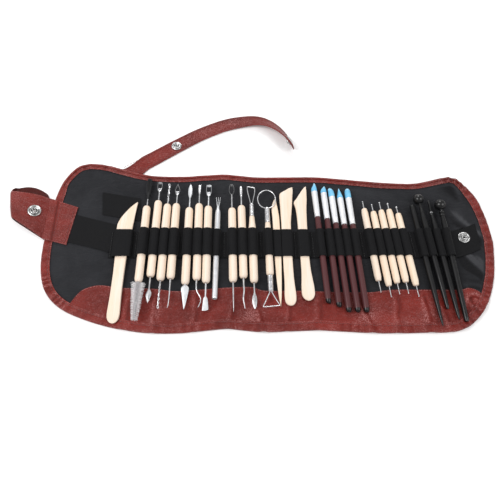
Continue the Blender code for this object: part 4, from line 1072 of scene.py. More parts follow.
def elastic():
    """One strip of elastic that goes over each tool and is sewn down between them."""
    shape = Shape()
    rings, places = [], []
    half_shares = (0.0, 0.25, 0.5, 0.7, 0.86, 0.94, 0.985, 1.0)
    xs, zs, slopes, lifts = np.array(band_profile()).T
    tilts = np.array([min(LOOPS, key=lambda loop: abs(loop[0] - x))[6] for x in xs])
    drawn_in = np.where(lifts >= 0, 0.55 * (1 - np.clip(lifts, 0, 1)), 0.3)
    for share in [-s for s in half_shares[:0:-1]] + list(half_shares):
        reach = (BAND_HALF - drawn_in * abs(share) ** 6) * share
        wobble = 0.12 * wave(xs, np.full_like(xs, share * 9), 7.0, 2.9)
        flare = np.where(lifts > 0.3, 0.16 * max(0.0, abs(share) - 0.8) / 0.2, 0.0)
        round_edge = np.where(lifts >= 0, -0.14 if abs(share) == 1 else 0.0,
                              0.14 if abs(share) == 1 else 0.0)
        x = xs + slopes * reach
        tail = smoothstep(205.0, 212.0, xs)
        y = BAND_MIDDLE + reach + tail_shift(xs) + 0.15 * wobble
        z = zs + flare + round_edge + tilts * reach * np.clip(lifts, 0, 1)
        on_case = np.where(lifts <= 0.2, swell(x, y), 0.0) * tail
        z = z + on_case + np.where(lifts >= 0, 0.5, 0.0) * wobble * (1 - np.clip(lifts, 0, 1)) * 0.4
        rings.append(shape.ring(np.column_stack([x, y, z])))
        places.append(np.column_stack([xs, np.full_like(xs, reach), zs]))
    shape.solid(rings)
    return finished(shape, "elastic_loops", ELASTIC, "case", ("elastic_band",), sharp=38,
                    place=np.vstack(places))


elastic_loops = elastic()


def elastic_strip(name, path, half_width, across=None):
    """Flat strip of elastic laid on the case along a path of (x, y) points."""
    bottom, thick = 2.5, 0.8
    line = evenly(smooth_path(path, 10), 1.5)
    ahead = headings(line)
    side = np.column_stack([-ahead[:, 1], ahead[:, 0]])
    if across is not None:
        side = np.tile(across, (len(ahead), 1))
    shares = np.array([-1.0, -0.96, -0.88, -0.7, -0.45, -0.2, 0.0, 0.2, 0.45, 0.7, 0.88, 0.96, 1.0])
    shape = Shape()
    rings, places = [], []
    for p, s, run in zip(line, side, run_along(line)):
        spot = p + s * (shares * half_width)[:, None]
        ground = laid(spot[:, 0], spot[:, 1], bottom)
        ripple = 0.10 * wave(spot[:, 0], spot[:, 1], 9.0, 5.5)
        edge = 0.25 * (np.abs(shares) > 0.98)
        top = np.column_stack([spot, ground + thick - edge * thick + ripple])
        low = np.column_stack([spot, ground + 0.05 * edge])
        rings.append(shape.ring(np.vstack([top, low[::-1]])))
        flat = np.column_stack([np.full(len(shares), run), shares * half_width, np.zeros(len(shares))])
        places.append(np.vstack([flat, flat[::-1] + (0, 0, -1)]))
    shape.solid(rings)
    return blended(finished(shape, name, ELASTIC, sharp=50, place=np.vstack(places)))


left_tail = elastic_strip("elastic_left_tail", [(-226, 26.5), (-205, 21.0), (-185, 16.0), (-172.5, 12.0)],
                          17.2)
patch = elastic_strip("elastic_patch", [(-191.8, 58.5), (-169, 54.3), (-146.5, 50.2)], 15.2,
                      across=(-0.12, 0.993))


def band_stitches():
    """Black thread across the band in the wider gaps between tools, and at its left end."""
    shape = Shape(local=False)
    rows = []
    for a, b in zip(LOOPS, LOOPS[1:]):
        gap = (b[0] - b[3]) - (a[0] + a[3])
        if gap > SEWN_GAP:
            rows.append((a[0] + a[3] + gap / 2, (a[1] + b[1]) / 2, BAND_TOP - 0.28))
    rows.append((band_low.x + 1.6, 0.0, BAND_TOP))
    for x, slope, height in rows:
        for start in np.arange(-BAND_HALF + 1.2, BAND_HALF - 3.0, 3.1):
            steps = ((0.0, -0.2), (0.2, 0.1), (0.5, 0.2), (0.8, 0.1), (1.0, -0.2))
            shape.tube([(x + slope * (start + 2.3 * u), BAND_MIDDLE + start + 2.3 * u, height + lift + 0.1)
                        for u, lift in steps], 0.26, 6)
    return finished(shape, "band_stitches", BLACK_THREAD, "case", sharp=180)


band_sewing = band_stitches()


# ---------------------------------------------------------------- closing strap, tab and snaps

def turn(shape, profile, sides=40, closed=False, tone=0.0):
    """Turned body about the Z axis. The profile is (radius, along)."""
    angles = 2 * np.pi * np.arange(sides) / sides
    circle = np.column_stack([np.cos(angles), np.sin(angles)])
    rings = []
    for k, (radius, along) in enumerate(profile):
        here = tone[k] if isinstance(tone, (list, tuple)) else tone
        rings.append(shape.ring(np.column_stack([circle * max(radius, 0.04), np.full(sides, along)]), here))
    if closed:
        shape.skin(rings + [rings[0]])
    else:
        shape.solid(rings)


def arc_profile(middle_radius, middle_along, radius, start, end, steps=6):
    """(radius, along) points on an arc, with its angles in degrees from straight out."""
    return [(middle_radius + radius * math.cos(math.radians(a)),
             middle_along + radius * math.sin(math.radians(a)))
            for a in np.linspace(start, end, steps)]


def snap_parts(radius, kind):
    """A pressed snap half about +Z: socket with two springs, stud, or flat eyelet with curled claws."""
    shape = Shape(local=False)
    rim = [(0.05, 0.0, 0.0), (radius - 0.25, 0.0, 0.5)]
    rim += [(*p, 0.0) for p in arc_profile(radius - 0.7, 0.75, 0.7, -60, 110, 8)]

    def turned(rows):
        # the third number of each row darkens the metal there: painted shade in the snap's hollows
        turn(shape, [(r, z) for r, z, _ in rows], 48, tone=[0.7 * t for _, _, t in rows])

    if kind == "socket":
        turned(rim + [(radius - 1.5, 1.15, 0.1), (radius - 1.9, 0.75, 1.0), (radius - 2.5, 0.7, 1.0),
                      (4.45, 0.8, 0.8)]
               + [(*p, 0.0) for p in arc_profile(3.75, 1.35, 0.6, -20, 200, 9)]
               + [(3.05, 0.6, 1.0), (2.5, 0.2, 1.0), (1.3, 0.15, 0.9), (1.0, 0.5, 0.2), (0.6, 0.7, 0.0),
                  (0.05, 0.7, 0.0)])
        for sign in (-1, 1):
            shape.tube([(sign * (1.25 + 0.45 * math.cos(t * 0.6) ** 2), t, 1.15)
                        for t in np.linspace(-2.7, 2.7, 11)], 0.3, 8)
    elif kind == "stud":
        turned(rim + [(radius - 1.4, 1.2, 0.1), (radius - 1.9, 0.8, 0.9), (radius - 2.5, 0.75, 1.0),
                      (2.75, 0.8, 1.0), (2.35, 1.0, 0.5), (2.1, 1.6, 0.1)]
               + [(*p, 0.0) for p in arc_profile(1.65, 2.3, 0.55, -30, 80, 6)]
               + [(1.2, 2.75, 0.4), (0.95, 2.4, 1.0), (0.05, 2.3, 1.0)])
    else:
        turned(rim + [(radius - 1.4, 1.25, 0.1), (radius - 1.8, 0.8, 1.0), (radius - 2.2, 1.0, 0.7),
                      (4.3, 1.45, 0.0), (3.6, 1.55, 0.0), (3.1, 1.45, 0.2), (2.7, 1.0, 1.0),
                      (2.3, 0.85, 1.0), (2.0, 1.2, 0.2), (1.6, 1.3, 0.0), (1.3, 1.1, 0.4), (1.1, 0.3, 1.0),
                      (0.05, 0.25, 1.0)])
        for k in range(6):
            a = math.radians(60 * k + 15)
            b = a + math.radians(30)
            shape.tube([(r * math.cos(t), r * math.sin(t), 1.5) for r, t in
                        ((3.0, a), (3.35, (a + b) / 2), (3.0, b))], 0.22, 6, tone=0.5)
    return shape


def surface_at(made, box):
    """Place on a piece's top at the middle of a box, and the rotation of what is fixed there."""
    low, high = (v / MM for v in box)
    x, y = (low.x + high.x) / 2, (low.y + high.y) / 2
    spots = np.array([v.co[:] for v in made.data.vertices]) / MM
    close = spots[np.hypot(spots[:, 0] - x, spots[:, 1] - y) < 3.5]
    close = close[close[:, 2] > close[:, 2].max() - 1.3]
    fit, *_ = np.linalg.lstsq(np.column_stack([close[:, :2] - (x, y), np.ones(len(close))]), close[:, 2],
                              rcond=None)
    up = Vector((-fit[0], -fit[1], 1)).normalized()
    return Vector((x, y, float(fit[2]))), Vector((0, 0, 1)).rotation_difference(up).to_matrix()


def snap(name, kind, place, radius, body, nodes=(), tilt=None):
    matrix = Matrix.Translation(place * MM)
    if tilt is not None:
        matrix = matrix @ tilt.to_4x4()
    return finished(snap_parts(radius, kind), name, SNAP, body, nodes, matrix, 45)


STRAP_LINE = [
    (-165, 105.5), (-140, 121.5), (-111, 141), (-86, 157), (-67, 167), (-47, 175), (-27, 179),
    (-10, 179), (4, 173), (16, 162), (26, 148), (33, 133),
]
STRAP_HALF = 9.0
STRAP_THICK = 1.6
STRAP_SEAM = 0.755  # share of the half width
STRAP_TURN = math.radians(75.0)
strap_root = Vector(joint_of("strap")["pos_m"]) / MM


def strap_sections():
    """Rows along the strap as it twists up on edge: (share, middle, sideways, face, ahead)."""
    line = smooth_path(STRAP_LINE, 14)
    rows = []
    for i, (p, a) in enumerate(zip(line, headings(line))):
        share = i / (len(line) - 1)
        root = 1 - smoothstep(0.0, 0.06, share)
        across = Vector((-a[1], a[0], 0.0)).lerp(Vector((-0.94, 0.341, 0)), float(root)).normalized()
        angle = STRAP_TURN * max(0.0, (share - 0.45) / 0.55) ** 1.4
        sideways = across * math.cos(angle) - Vector((0, 0, 1)) * math.sin(angle)
        face = Vector((a[0], a[1], 0)).cross(sideways).normalized()
        middle = Vector((p[0], p[1], STRAP_THICK / 2 + 0.35 + STRAP_HALF * math.sin(angle)))
        rows.append((share, middle, sideways, face, Vector((a[0], a[1], 0))))
    return rows


def to_rim(spot):
    """Step from a place beside the case to just outside its edge."""
    away = OUTLINE - (spot.x, spot.y)
    k = int(np.argmin(np.linalg.norm(away, axis=1)))
    step = float(away[k] @ INWARD[k]) - 0.12
    return Vector((*(INWARD[k] * step), 0.0))


def closing_strap():
    """Long leather strap that wraps the rolled case, and the two rows of stitches along it."""
    rows = strap_sections()
    shape = Shape()
    rings, places, run = [], [], 0.0
    edge_lines = {-1: [], 1: []}
    total = sum((b[1] - a[1]).length for a, b in zip(rows, rows[1:]))
    columns = [(-1.0, 0.0), (-0.985, 0.32), (-0.93, 0.46), (-0.86, 0.50), (-0.79, 0.43), (-0.755, 0.36),
               (-0.72, 0.43), (-0.55, 0.47), (-0.25, 0.46), (0.0, 0.45), (0.25, 0.46), (0.55, 0.47),
               (0.72, 0.43), (0.755, 0.36), (0.79, 0.43), (0.86, 0.50), (0.93, 0.46), (0.985, 0.32),
               (1.0, 0.0), (0.985, -0.32), (0.93, -0.46), (0.55, -0.48), (0.0, -0.48), (-0.55, -0.48),
               (-0.93, -0.46), (-0.985, -0.32)]
    for k, (share, middle, sideways, face, _) in enumerate(rows):
        if k:
            run += (middle - rows[k - 1][1]).length
        left = total - run
        wide = 1.0 + 0.13 * (1 - smoothstep(0.0, 0.45, share))
        half = STRAP_HALF * wide
        if left <= 9:
            half *= 0.35 + 0.65 * math.sqrt(max(0.0, 1 - (1 - left / 9) ** 2))
        root = 1 - float(smoothstep(0.0, 0.07, share))
        half *= 1 + 0.22 * root
        wavy = 0.35 * noise.noise(Vector((run / 24.0, 3.3, 1.0)))
        wavy += 0.12 * noise.noise(Vector((run / 7.0, 8.3, 1.0)))

        def on_strap(u, v):
            """Place at a share of the half width and of the thickness."""
            cup = 0.5 * (u * u - 0.3) * math.sin(min(1.0, share * 1.4) * math.pi)
            lift = v * STRAP_THICK + (wavy + cup) * min(1.0, share * 12)
            return middle + sideways * (-u * half) + face * lift

        ring, place, tone = [], [], []
        for u, v in columns:
            spot = on_strap(u, v)
            if root > 0.0:
                spot += to_rim(spot) * root
            spot.z = max(spot.z, 0.1)
            ring.append(tuple(spot))
            place.append((run, u * 9, v * 4 + 40))
            # painted sheen along the middle, and a painted highlight on the top edges
            sheen = 0.55 * math.exp(-((share - 0.40) / 0.22) ** 2) * (1 - 0.5 * abs(u))
            tone.append(0.55 if abs(u) > 0.95 and v > 0 else 0.08 + sheen)
        rings.append(shape.ring(ring, tone))
        places.append(np.array(place))
        if half > 6:
            for sign in (-1, 1):
                edge_lines[sign].append((*on_strap(sign * STRAP_SEAM, 0.40), *face))
    shape.solid(rings)
    made = finished(shape, "strap_leather", LEATHER, None, ("closing_strap",), sharp=60,
                    place=np.vstack(places))
    threads = Shape(local=False)
    thread_share, thread_lift = np.array(((0.0, -0.3), (0.2, 0.1), (0.5, 0.2), (0.8, 0.1), (1.0, -0.3))).T
    for line in edge_lines.values():
        line = np.array(line)
        runs = run_along(line[:, :3])
        for start in np.arange(1.5, runs[-1] - STITCH_PITCH, STITCH_PITCH):
            here = at_runs(start + STITCH_LENGTH * thread_share, runs, line)
            threads.tube(here[:, :3] + here[:, 3:] * (thread_lift + 0.1)[:, None], 0.28, 6)
    sewing = finished(threads, "strap_stitches", RED_THREAD, None, sharp=180)
    direction = Vector((0.81, 0.58, 0)).normalized()
    start = (strap_root - direction * 1.0) * MM
    for piece in (made, sewing):
        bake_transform(piece)
    return made, sewing, rows


strap, strap_sewing, strap_rows = closing_strap()
STUD_SPOT = Vector((-111.0, 140.5, 1.0))
_, stud_middle, _, stud_face, _ = min(strap_rows, key=lambda row: (row[1] - STUD_SPOT).length)
snap("strap_stud", "eyelet", stud_middle + stud_face * (0.42 * STRAP_THICK), 6.2, "strap")
_, end_middle, _, end_face, end_ahead = strap_rows[int(len(strap_rows) * 0.93)]
for name, kind, face, radius in (("strap_end_cap", "socket", end_face, 6.4),
                                 ("strap_end_back", "stud", -end_face, 5.6)):
    end_turn = Matrix((end_ahead, face.cross(end_ahead), face)).transposed()
    snap(name, kind, end_middle + face * (0.42 * STRAP_THICK), radius, "strap", (), end_turn)

TAB_ROOT = (np.array((-252.8, 12.0)), np.array((-252.4, 64.0)))
TAB_TIP = (np.array((-292.0, 37.0)), np.array((-301.0, 71.0)))


def on_tab(made):
    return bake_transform(made)


def tab_leather():
    """The tab: leather folded back on itself and open at both sides like a flattened tube."""
    height, thick = 12.0, 1.5
    shape = Shape()
    outer_rows, inner_rows, places = [], [], []
    for share in np.linspace(0, 1, 25):
        root = TAB_ROOT[0] + (TAB_ROOT[1] - TAB_ROOT[0]) * share
        tip = TAB_TIP[0] + (TAB_TIP[1] - TAB_TIP[0]) * share
        tip = tip + (root - tip) / np.linalg.norm(tip - root) * 2.2 * smoothstep(0.84, 1.0, share) ** 2
        length = np.linalg.norm(tip - root)
        direction = (tip - root) / length
        radius = height / 2
        knots = [(0.0, 3.9), (length * 0.10, 6.6), (length * 0.22, 9.6), (length * 0.38, 11.4),
                 (length * 0.6, 12.0)]
        knots += [(length - radius + radius * math.cos(t), radius + radius * math.sin(t))
                  for t in np.linspace(math.pi / 2, -math.pi / 2, 7)]
        knots += [(length * 0.55, 0.05), (length * 0.3, 0.15), (0.0, 0.1)]
        line = evenly(smooth_path(knots, 6), 0.9)
        line = line[np.linspace(0, len(line) - 1, 84).round().astype(int)]
        ahead = np.gradient(line, axis=0)
        ahead /= np.linalg.norm(ahead, axis=1)[:, None] + 1e-9
        normal = np.column_stack([-ahead[:, 1], ahead[:, 0]])
        along = np.arange(len(line)) / (len(line) - 1)
        bulge = np.sin(np.clip(0.035 + 0.80 * line[:, 0] / length, 0, 1) ** 1.1 * np.pi) ** 0.8
        bulge = 13.5 * bulge * smoothstep(0.0, 0.16, line[:, 0] / length) * smoothstep(0.35, 1.0, share)
        bulge = bulge * smoothstep(0.44, 0.54, along)
        sheen = 0.42 * np.exp(-((line[:, 0] / length - 0.85) / 0.25) ** 2) * smoothstep(0.25, 0.9, share)
        dome = 0.5 * math.sin(math.pi * share) * np.sin(np.pi * along)
        edge = 0.35 * smoothstep(0.92, 1.0, abs(2 * share - 1))
        for offset, rows in ((0.0, outer_rows), (-thick, inner_rows)):
            taper = -edge if offset == 0.0 else edge
            spot = line + normal * (offset + taper + (dome if offset == 0.0 else dome * 0.9))[:, None]
            side = np.array((direction[1], -direction[0]))
            plan = root + direction * spot[:, :1] + side * bulge[:, None]
            ripple = 0.12 * wave(plan[:, 0], plan[:, 1], 8.0, 4.4)
            # the outer face gets painted sheen and a painted highlight at its sides; the inner face is the matt
            # back, painted dark also for the shade inside the fold
            tone = 0.12 + sheen + 0.4 * smoothstep(0.9, 1.0, abs(2 * share - 1)) if offset == 0.0 else -0.85
            rows.append(shape.ring(np.column_stack([plan, np.maximum(spot[:, 1] + 0.3 + ripple, 0.12)]),
                                   tone))
            places.append(np.column_stack([along * 110, np.full(len(line), share * 40),
                                           np.full(len(line), offset)]))
    shape.slab(outer_rows, inner_rows)
    return on_tab(finished(shape, "tab_leather", LEATHER, None, ("tab_loop",), sharp=50,
                           place=np.vstack(places)))


def tab_patch():
    """End of the tab's leather, sewn flat on the lining over the turned edge of the case."""
    far_left, far_right = np.array((-253.0, 64.2)), np.array((-218.8, 52.0))
    near_left, near_right = np.array((-253.4, 12.0)), np.array((-225.6, 4.6))

    def inside(u, v):
        """Place in the patch, from its left to its right and from its near to its far side."""
        near = near_left + (near_right - near_left) * u
        far = far_left + (far_right - far_left) * u
        return near + (far - near) * v

    def ground_at(x, y):
        """Height of what the patch lies on: the lining, or the turned edge."""
        return laid(x, y, 0.0) + 3.15 + 0.55 * smoothstep(-239.5, -243.5, x)

    shape = Shape()
    shares_v = np.array([0.0, 0.012, 0.035, 0.07, *np.linspace(0.12, 0.88, 20), 0.93, 0.965, 0.988, 1.0])
    shares_u = np.array([0.0, *np.linspace(0.03, 0.9, 26), 0.93, 0.965, 0.988, 1.0])
    tops, lows, places = [], [], []
    for u in shares_u:
        spot = inside(u, shares_v[:, None])
        x, y = spot[:, 0], spot[:, 1]
        ground = ground_at(x, y)
        border = np.minimum(np.minimum(shares_v, 1 - shares_v) * 50, (1 - u) * 30)
        round_off = -0.35 * np.exp(-(border / 0.35) ** 2)
        seam_dip = -0.16 * np.exp(-((border - 2.6) / 0.5) ** 2)
        crease = -0.4 * np.exp(-((x + 243.0) / 1.3) ** 2)
        z = ground + 1.15 + round_off + seam_dip + crease + 0.12 * wave(x, y, 8.0, 7.7)
        # painted highlight round the rounded border and a little over the whole patch, and painted shade in the
        # crease
        tone = np.clip(0.75 * np.exp(-(border / 0.5) ** 2) + 0.22, 0,
                       1) - 0.8 * np.exp(-((x + 243.0) / 1.2) ** 2)
        tops.append(shape.ring(np.column_stack([spot, z]), tone))
        lows.append(shape.ring(np.column_stack([spot, ground - 0.1 * np.exp(-(border / 0.35) ** 2)])))
        places += [np.column_stack([spot, np.full(len(spot), 11.0)])] * 2
    shape.slab(tops, lows)
    made = on_tab(finished(shape, "tab_patch", LEATHER, sharp=50, place=np.vstack(places)))
    path = evenly([inside(u, v) for u, v in (
        (0.42, 0.055), (0.91, 0.055), (0.91, 0.945), (0.42, 0.945), (0.42, 0.055))], 1.0)
    heights = ground_at(path[:, 0], path[:, 1]) + 1.12
    return made, surface_stitches("tab_patch_stitches", path, heights, "end_flap")


tab = tab_leather()
tab_square, square_sewing = tab_patch()
snap_place, snap_turn = surface_at(tab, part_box("tab_snap"))
snap_place.z -= 0.15
snap("tab_socket", "socket", snap_place, 7.3, "tab", ("tab_snap",),
     snap_turn @ Matrix.Rotation(0.5, 3, "Z"))
post_place, post_turn = surface_at(elastic_loops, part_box("lining_snap"))
snap("lining_post", "eyelet", post_place, 6.7, "case", ("lining_snap",), post_turn)


# ---------------------------------------------------------------- tools

def twisted_pair(shape, near, far):
    """Two wires twisted round each other, ending in a small eye."""
    radius = 0.5
    length = abs(far - near)
    sign = 1 if far > near else -1
    s = np.linspace(0, length, int(length / 0.4))
    angle = 2 * np.pi * s / 8.4
    spread = 0.62 + 0.22 * np.sin(angle) ** 2
    for side in (1, -1):
        shape.tube(np.column_stack([side * spread * np.cos(angle), 0.8 * side * spread * np.sin(angle),
                                    near + sign * s]), radius, 8)
    tip = far + sign * 1.2
    shape.tube([(0.85 * math.cos(t), 0.2 * math.sin(2 * t), tip + 1.4 * math.sin(t))
                for t in np.linspace(0, 2 * np.pi, 18, endpoint=False)], radius * 0.8, 8, closed=True)


def loop_path(middle, half_width, half_length, count, squareness):
    """Closed oval path in the plane of the table."""
    x, y = oval(2 * np.pi * (np.arange(count) + 0.5) / count, squareness)
    return np.column_stack([x * half_width, np.zeros(count), middle + y * half_length])


def strip_loop(shape, path, half_height, far_lean=50.0, tone=0.35):
    """Cutting loop of flat strip on edge, leaning open at its far bar."""
    middle = (path[:, 2].min() + path[:, 2].max()) / 2
    reach = (path[:, 2].max() - path[:, 2].min()) / 2
    across = []
    for p in path:
        share = max(0.0, (p[2] - middle) / reach)
        lean = math.radians(far_lean) * share ** 3
        across.append((0.0, math.cos(lean), math.sin(lean)))
    shape.strip(path, across, half_height, 0.2, tone)


def wood_handle(body, far, near, radius=WOOD_R, neck=0.0, dome=4.6):
    """Wooden dowel with rounded ends and a bore for the steel. One with a neck narrows to its far end."""
    shape = Shape()
    bore = 1.45
    quarter = np.linspace(0, 1, 9) * math.pi / 2
    end = [(bore + 0.5 + (radius - bore - 0.5) * math.sin(t), dome * (1 - math.cos(t))) for t in quarter]
    profile = [(bore, far - 2.0), (bore, far - 0.35), (bore + 0.35, far)]
    if neck:
        profile += [(2.55, far - 0.1), (2.8, far - 0.6), (3.0, far - 3.0), (3.35, far - 8.0),
                    (3.8, far - neck * 0.75), (radius - 0.12, far - neck), (radius, far - neck - 5)]
    else:
        profile += [(r, far - inset) for r, inset in end]
    count = 14
    top = profile[-1][1]
    for k in range(1, count):
        share = k / count
        along = top + (near + dome - top) * share
        profile.append((radius + 0.05 * math.sin(share * 9 + far), along))
    profile += [(r, near + inset) for r, inset in reversed(end)]
    profile += [(bore + 0.35, near), (bore, near + 0.35), (bore, near + 2.0)]
    turn(shape, profile, 32, closed=True)
    finished(shape, body + "_wood", WOOD, body, (body + "_handle",), TOOLS[body], 50)


def steel_piece(body, shape, material=STEEL, sharp=35):
    finished(shape, body + "_steel_work", material, body, (body + "_steel",), TOOLS[body], sharp)


def shank(shape, near, far, radius=0.95):
    """Round steel through the handle, a little thinner at both ends."""
    shape.stations([(far, radius * 0.92), ((far + near) / 2, radius), (near, radius * 0.92)], 12,
                   longest=20)


def wooden_knife():
    """Broad wooden modelling knife with a curved blade."""
    shape = Shape()
    edge = [  # along, left side, right side
        (53.0, 11.3, 11.6), (51.6, 9.3, 11.55), (49.4, 6.8, 11.35), (46.0, 3.6, 11.0), (41.5, 0.2, 10.6),
        (36.0, -3.6, 10.1), (30.0, -6.6, 9.7), (23.0, -8.6, 9.2), (15.0, -8.6, 8.7), (5.0, -7.6, 7.9),
        (-8.0, -6.7, 6.7), (-22.0, -6.2, 6.2), (-40.0, -5.9, 5.9), (-58.0, -6.0, 6.0), (-72.0, -6.4, 6.4),
        (-81.0, -6.7, 6.7), (-86.0, -6.2, 6.2), (-89.2, -4.6, 4.6), (-91.0, -2.4, 2.4), (-91.5, -0.8, 0.8)]
    stations = []
    for along, left, right in edge:
        blade = 1.0 if along < 12 else 0.62 + 0.38 * (1 - smoothstep(12, 46, along))
        tail = min(1.0, 0.35 + 0.65 * (along + 91.5) / 6.0)
        stations.append((along, (right - left) / 2, 1.95 * blade * tail, (left + right) / 2))
    shape.stations(stations, 40, squareness=5.0, longest=2.0)
    finished(shape, "wooden_knife_wood", WOOD, "wooden_knife", ("wooden_knife",),
             TOOLS["wooden_knife"], 55)


def wooden_stick(body, edge, thick, material=WOOD):
    """Flat boxwood tool. The edge rows are (along, left side, right side, half thickness)."""
    shape = Shape()
    shape.stations([(a, (r - l) / 2, t * thick, (l + r) / 2) for a, l, r, t in edge], 40, squareness=4.6,
                   longest=2.0)
    finished(shape, body + "_wood", material, body, (body,), TOOLS[body], 55)


def wire_brush():
    """Tapered wire brush at the near end, and a tuft of dark hair at the far end."""
    body = "wire_brush"
    wood_handle(body, 46.7, -48.0)
    core = Shape()
    shank(core, 44.0, 62.0, 0.7)
    core.tube([(0.0, 0.0, -45.0), (0.0, 0.0, -49.5)], 1.4, 14)
    for side in (1, -1):
        s = np.linspace(0, 41.5, 150)
        core.tube(np.column_stack([side * 0.5 * np.cos(2.3 * s), side * 0.5 * np.sin(2.3 * s), -48.5 - s]),
                  0.52, 6)
    steel_piece(body, core)
    hair = Shape()
    rng = np.random.default_rng(7)
    rows = np.arange(-50.0, -89.5, -2.05)
    for k, along in enumerate(rows):
        share = k / (len(rows) - 1)
        reach = 7.4 - 3.7 * share ** 1.1
        for j in range(30):
            a = 2 * math.pi * (j + 0.5 * (k % 2)) / 30 + rng.normal(0, 0.03)
            long = reach * (1 + rng.normal(0, 0.045)) * (1.0 if share > 0.05 else 1.06)
            droop = rng.normal(-0.5, 0.35) - 0.5 * share
            tip = (long * math.cos(a), long * math.sin(a), along + droop + rng.normal(0, 0.15))
            half = (0.55 * long * math.cos(a + 0.02), 0.55 * long * math.sin(a + 0.02),
                    along + droop * 0.25)
            root = (0.7 * math.cos(a), 0.7 * math.sin(a), along)
            hair.tube([root, half, tip], [0.21, 0.20, 0.15], 4, tone=rng.uniform(0.2, 1.0))
    finished(hair, "wire_brush_bristles", GREY_HAIR, body, (), TOOLS[body], 180)
    tuft = Shape()
    for j in range(90):
        a, r = rng.uniform(0, 2 * math.pi), math.sqrt(rng.uniform(0, 1))
        x, y = r * math.cos(a), r * math.sin(a)
        top = 84.5 + rng.uniform(0, 2.6) - r * 1.6
        tuft.tube([(0.9 * x, 0.8 * y, 58.0), (2.4 * x, 1.5 * y, 66.0), (3.5 * x, 1.8 * y, 76.0),
                   (2.9 * x + 0.2, 1.4 * y, top)], [0.26, 0.28, 0.24, 0.10], 5, tone=rng.uniform(0, 1))
    tuft.stations([(66, 2.2, 1.5), (62, 1.9, 1.4), (57.5, 1.3, 1.2), (56.6, 0.9)], 14)
    finished(tuft, "brush_tuft", DARK_HAIR, body, (), TOOLS[body], 60)


def neck_plate(shape, near, far, half_near, half_far):
    """Flat end of a shank, where a strip loop is brazed on."""
    shape.stations([(far, half_far, 0.36), ((near + far) / 2, half_far * 0.85, 0.45),
                    (near, half_near, 0.63), (near - 1.4, 0.9, 0.9)], 20, squareness=3.0, longest=0.8)


def blade(shape, points, squareness=1.35):
    """Forged blade with a ridge along its middle. Points are (along, left, right, half thickness)."""
    shape.stations([(a, (r - l) / 2, t, (l + r) / 2) for a, l, r, t in points], 20, squareness=squareness,
                   longest=1.2)


def diamond_blade():
    """Small square loop and diamond blade."""
    body = "diamond_blade"
    wood_handle(body, 53.5, -41.0)
    s = Shape()
    shank(s, 50.0, 66.5, 0.85)
    neck_plate(s, 67.4, 70.6, 2.0, 2.6)
    strip_loop(s, loop_path(73.4, 2.6, 4.4, 36, 4.0), 1.25)
    shank(s, -55.0, -39.0, 0.9)
    blade(s, [(-53.6, -0.8, 0.8, 0.75), (-55.4, -1.2, 1.3, 0.65), (-58.2, -2.2, 2.7, 0.7),
              (-61.0, -2.9, 2.9, 0.62), (-65.2, -2.0, 1.7, 0.5), (-69.6, -0.5, 0.2, 0.25),
              (-70.4, -0.1, 0.05, 0.1)])
    steel_piece(body, s)


def twisted_wire():
    """Twisted wire at both ends."""
    body = "twisted_wire"
    wood_handle(body, 49.0, -45.2)
    s = Shape()
    shank(s, 46.0, 53.0, 0.75)
    twisted_pair(s, 52.0, 74.2)
    shank(s, -50.0, -43.0, 0.75)
    twisted_pair(s, -49.0, -73.4)
    steel_piece(body, s)


def hooked_needle():
    """Pointed strip loop and hooked needle."""
    body = "hooked_needle"
    wood_handle(body, 49.5, -43.3)
    s = Shape()
    shank(s, 47.0, 62.5, 0.85)
    neck_plate(s, 62.6, 66.6, 1.7, 2.5)
    strip_loop(s, smooth_path([(0, 0, 63.6), (2.3, 0, 65.6), (2.5, 0, 68.8), (0.25, 0, 75), (-0.25, 0, 75),
                               (-2.5, 0, 68.8), (-2.3, 0, 65.6)], 6, closed=True), 1.0)
    s.tube(smooth_path([(0, 0, -42), (0, 0, -52), (0.1, 0, -60), (0.0, 0, -67), (-0.35, 0, -72),
                        (-1.0, 0, -75.4)], 6), np.linspace(0.9, 0.35, 31), 10)
    steel_piece(body, s)


def spear_spatula():
    """Leaf spatula and white spear blade."""
    body = "spear_spatula"
    wood_handle(body, 44.2, -49.6)
    s = Shape()
    shank(s, 41.0, 58.5, 0.85)
    blade(s, [(57.0, -0.85, 0.85, 0.8), (60.0, -1.5, 1.5, 0.6), (64.0, -2.25, 2.25, 0.5),
              (69.0, -2.25, 2.25, 0.45), (73.0, -1.6, 1.6, 0.38), (75.8, -0.5, 0.5, 0.2),
              (76.2, -0.12, 0.12, 0.1)])
    shank(s, -51.0, -47.0, 1.2)
    blade(s, [(-50.2, -1.6, 1.6, 0.85), (-51.8, -3.2, 3.2, 0.85), (-53.6, -4.2, 4.2, 0.8),
              (-60.0, -3.2, 3.5, 0.7), (-68.0, -1.9, 2.2, 0.55), (-76.0, -0.5, 0.5, 0.3),
              (-77.2, -0.12, 0.12, 0.1)], 1.6)
    steel_piece(body, s, material=SATIN)


def bent_hook():
    """Narrow chisel and bent hook."""
    body = "bent_hook"
    wood_handle(body, 49.5, -44.6)
    s = Shape()
    shank(s, 46.0, 64.0, 0.85)
    blade(s, [(63.0, -0.85, 0.85, 0.8), (66.0, -1.3, 1.3, 0.62), (70.0, -1.5, 1.5, 0.45),
              (74.6, -1.45, 1.45, 0.24), (75.2, -1.3, 1.3, 0.14)], 3.0)
    s.tube(smooth_path([(0, 0, -43), (-0.1, 0, -52), (0.6, 0, -56.6), (3.0, 0, -61.2), (4.8, 0, -64.6),
                        (5.1, 0, -67.4), (4.4, 0, -70.6), (2.4, 0, -75.0)], 6),
           np.linspace(0.88, 0.35, 43), 10)
    steel_piece(body, s)


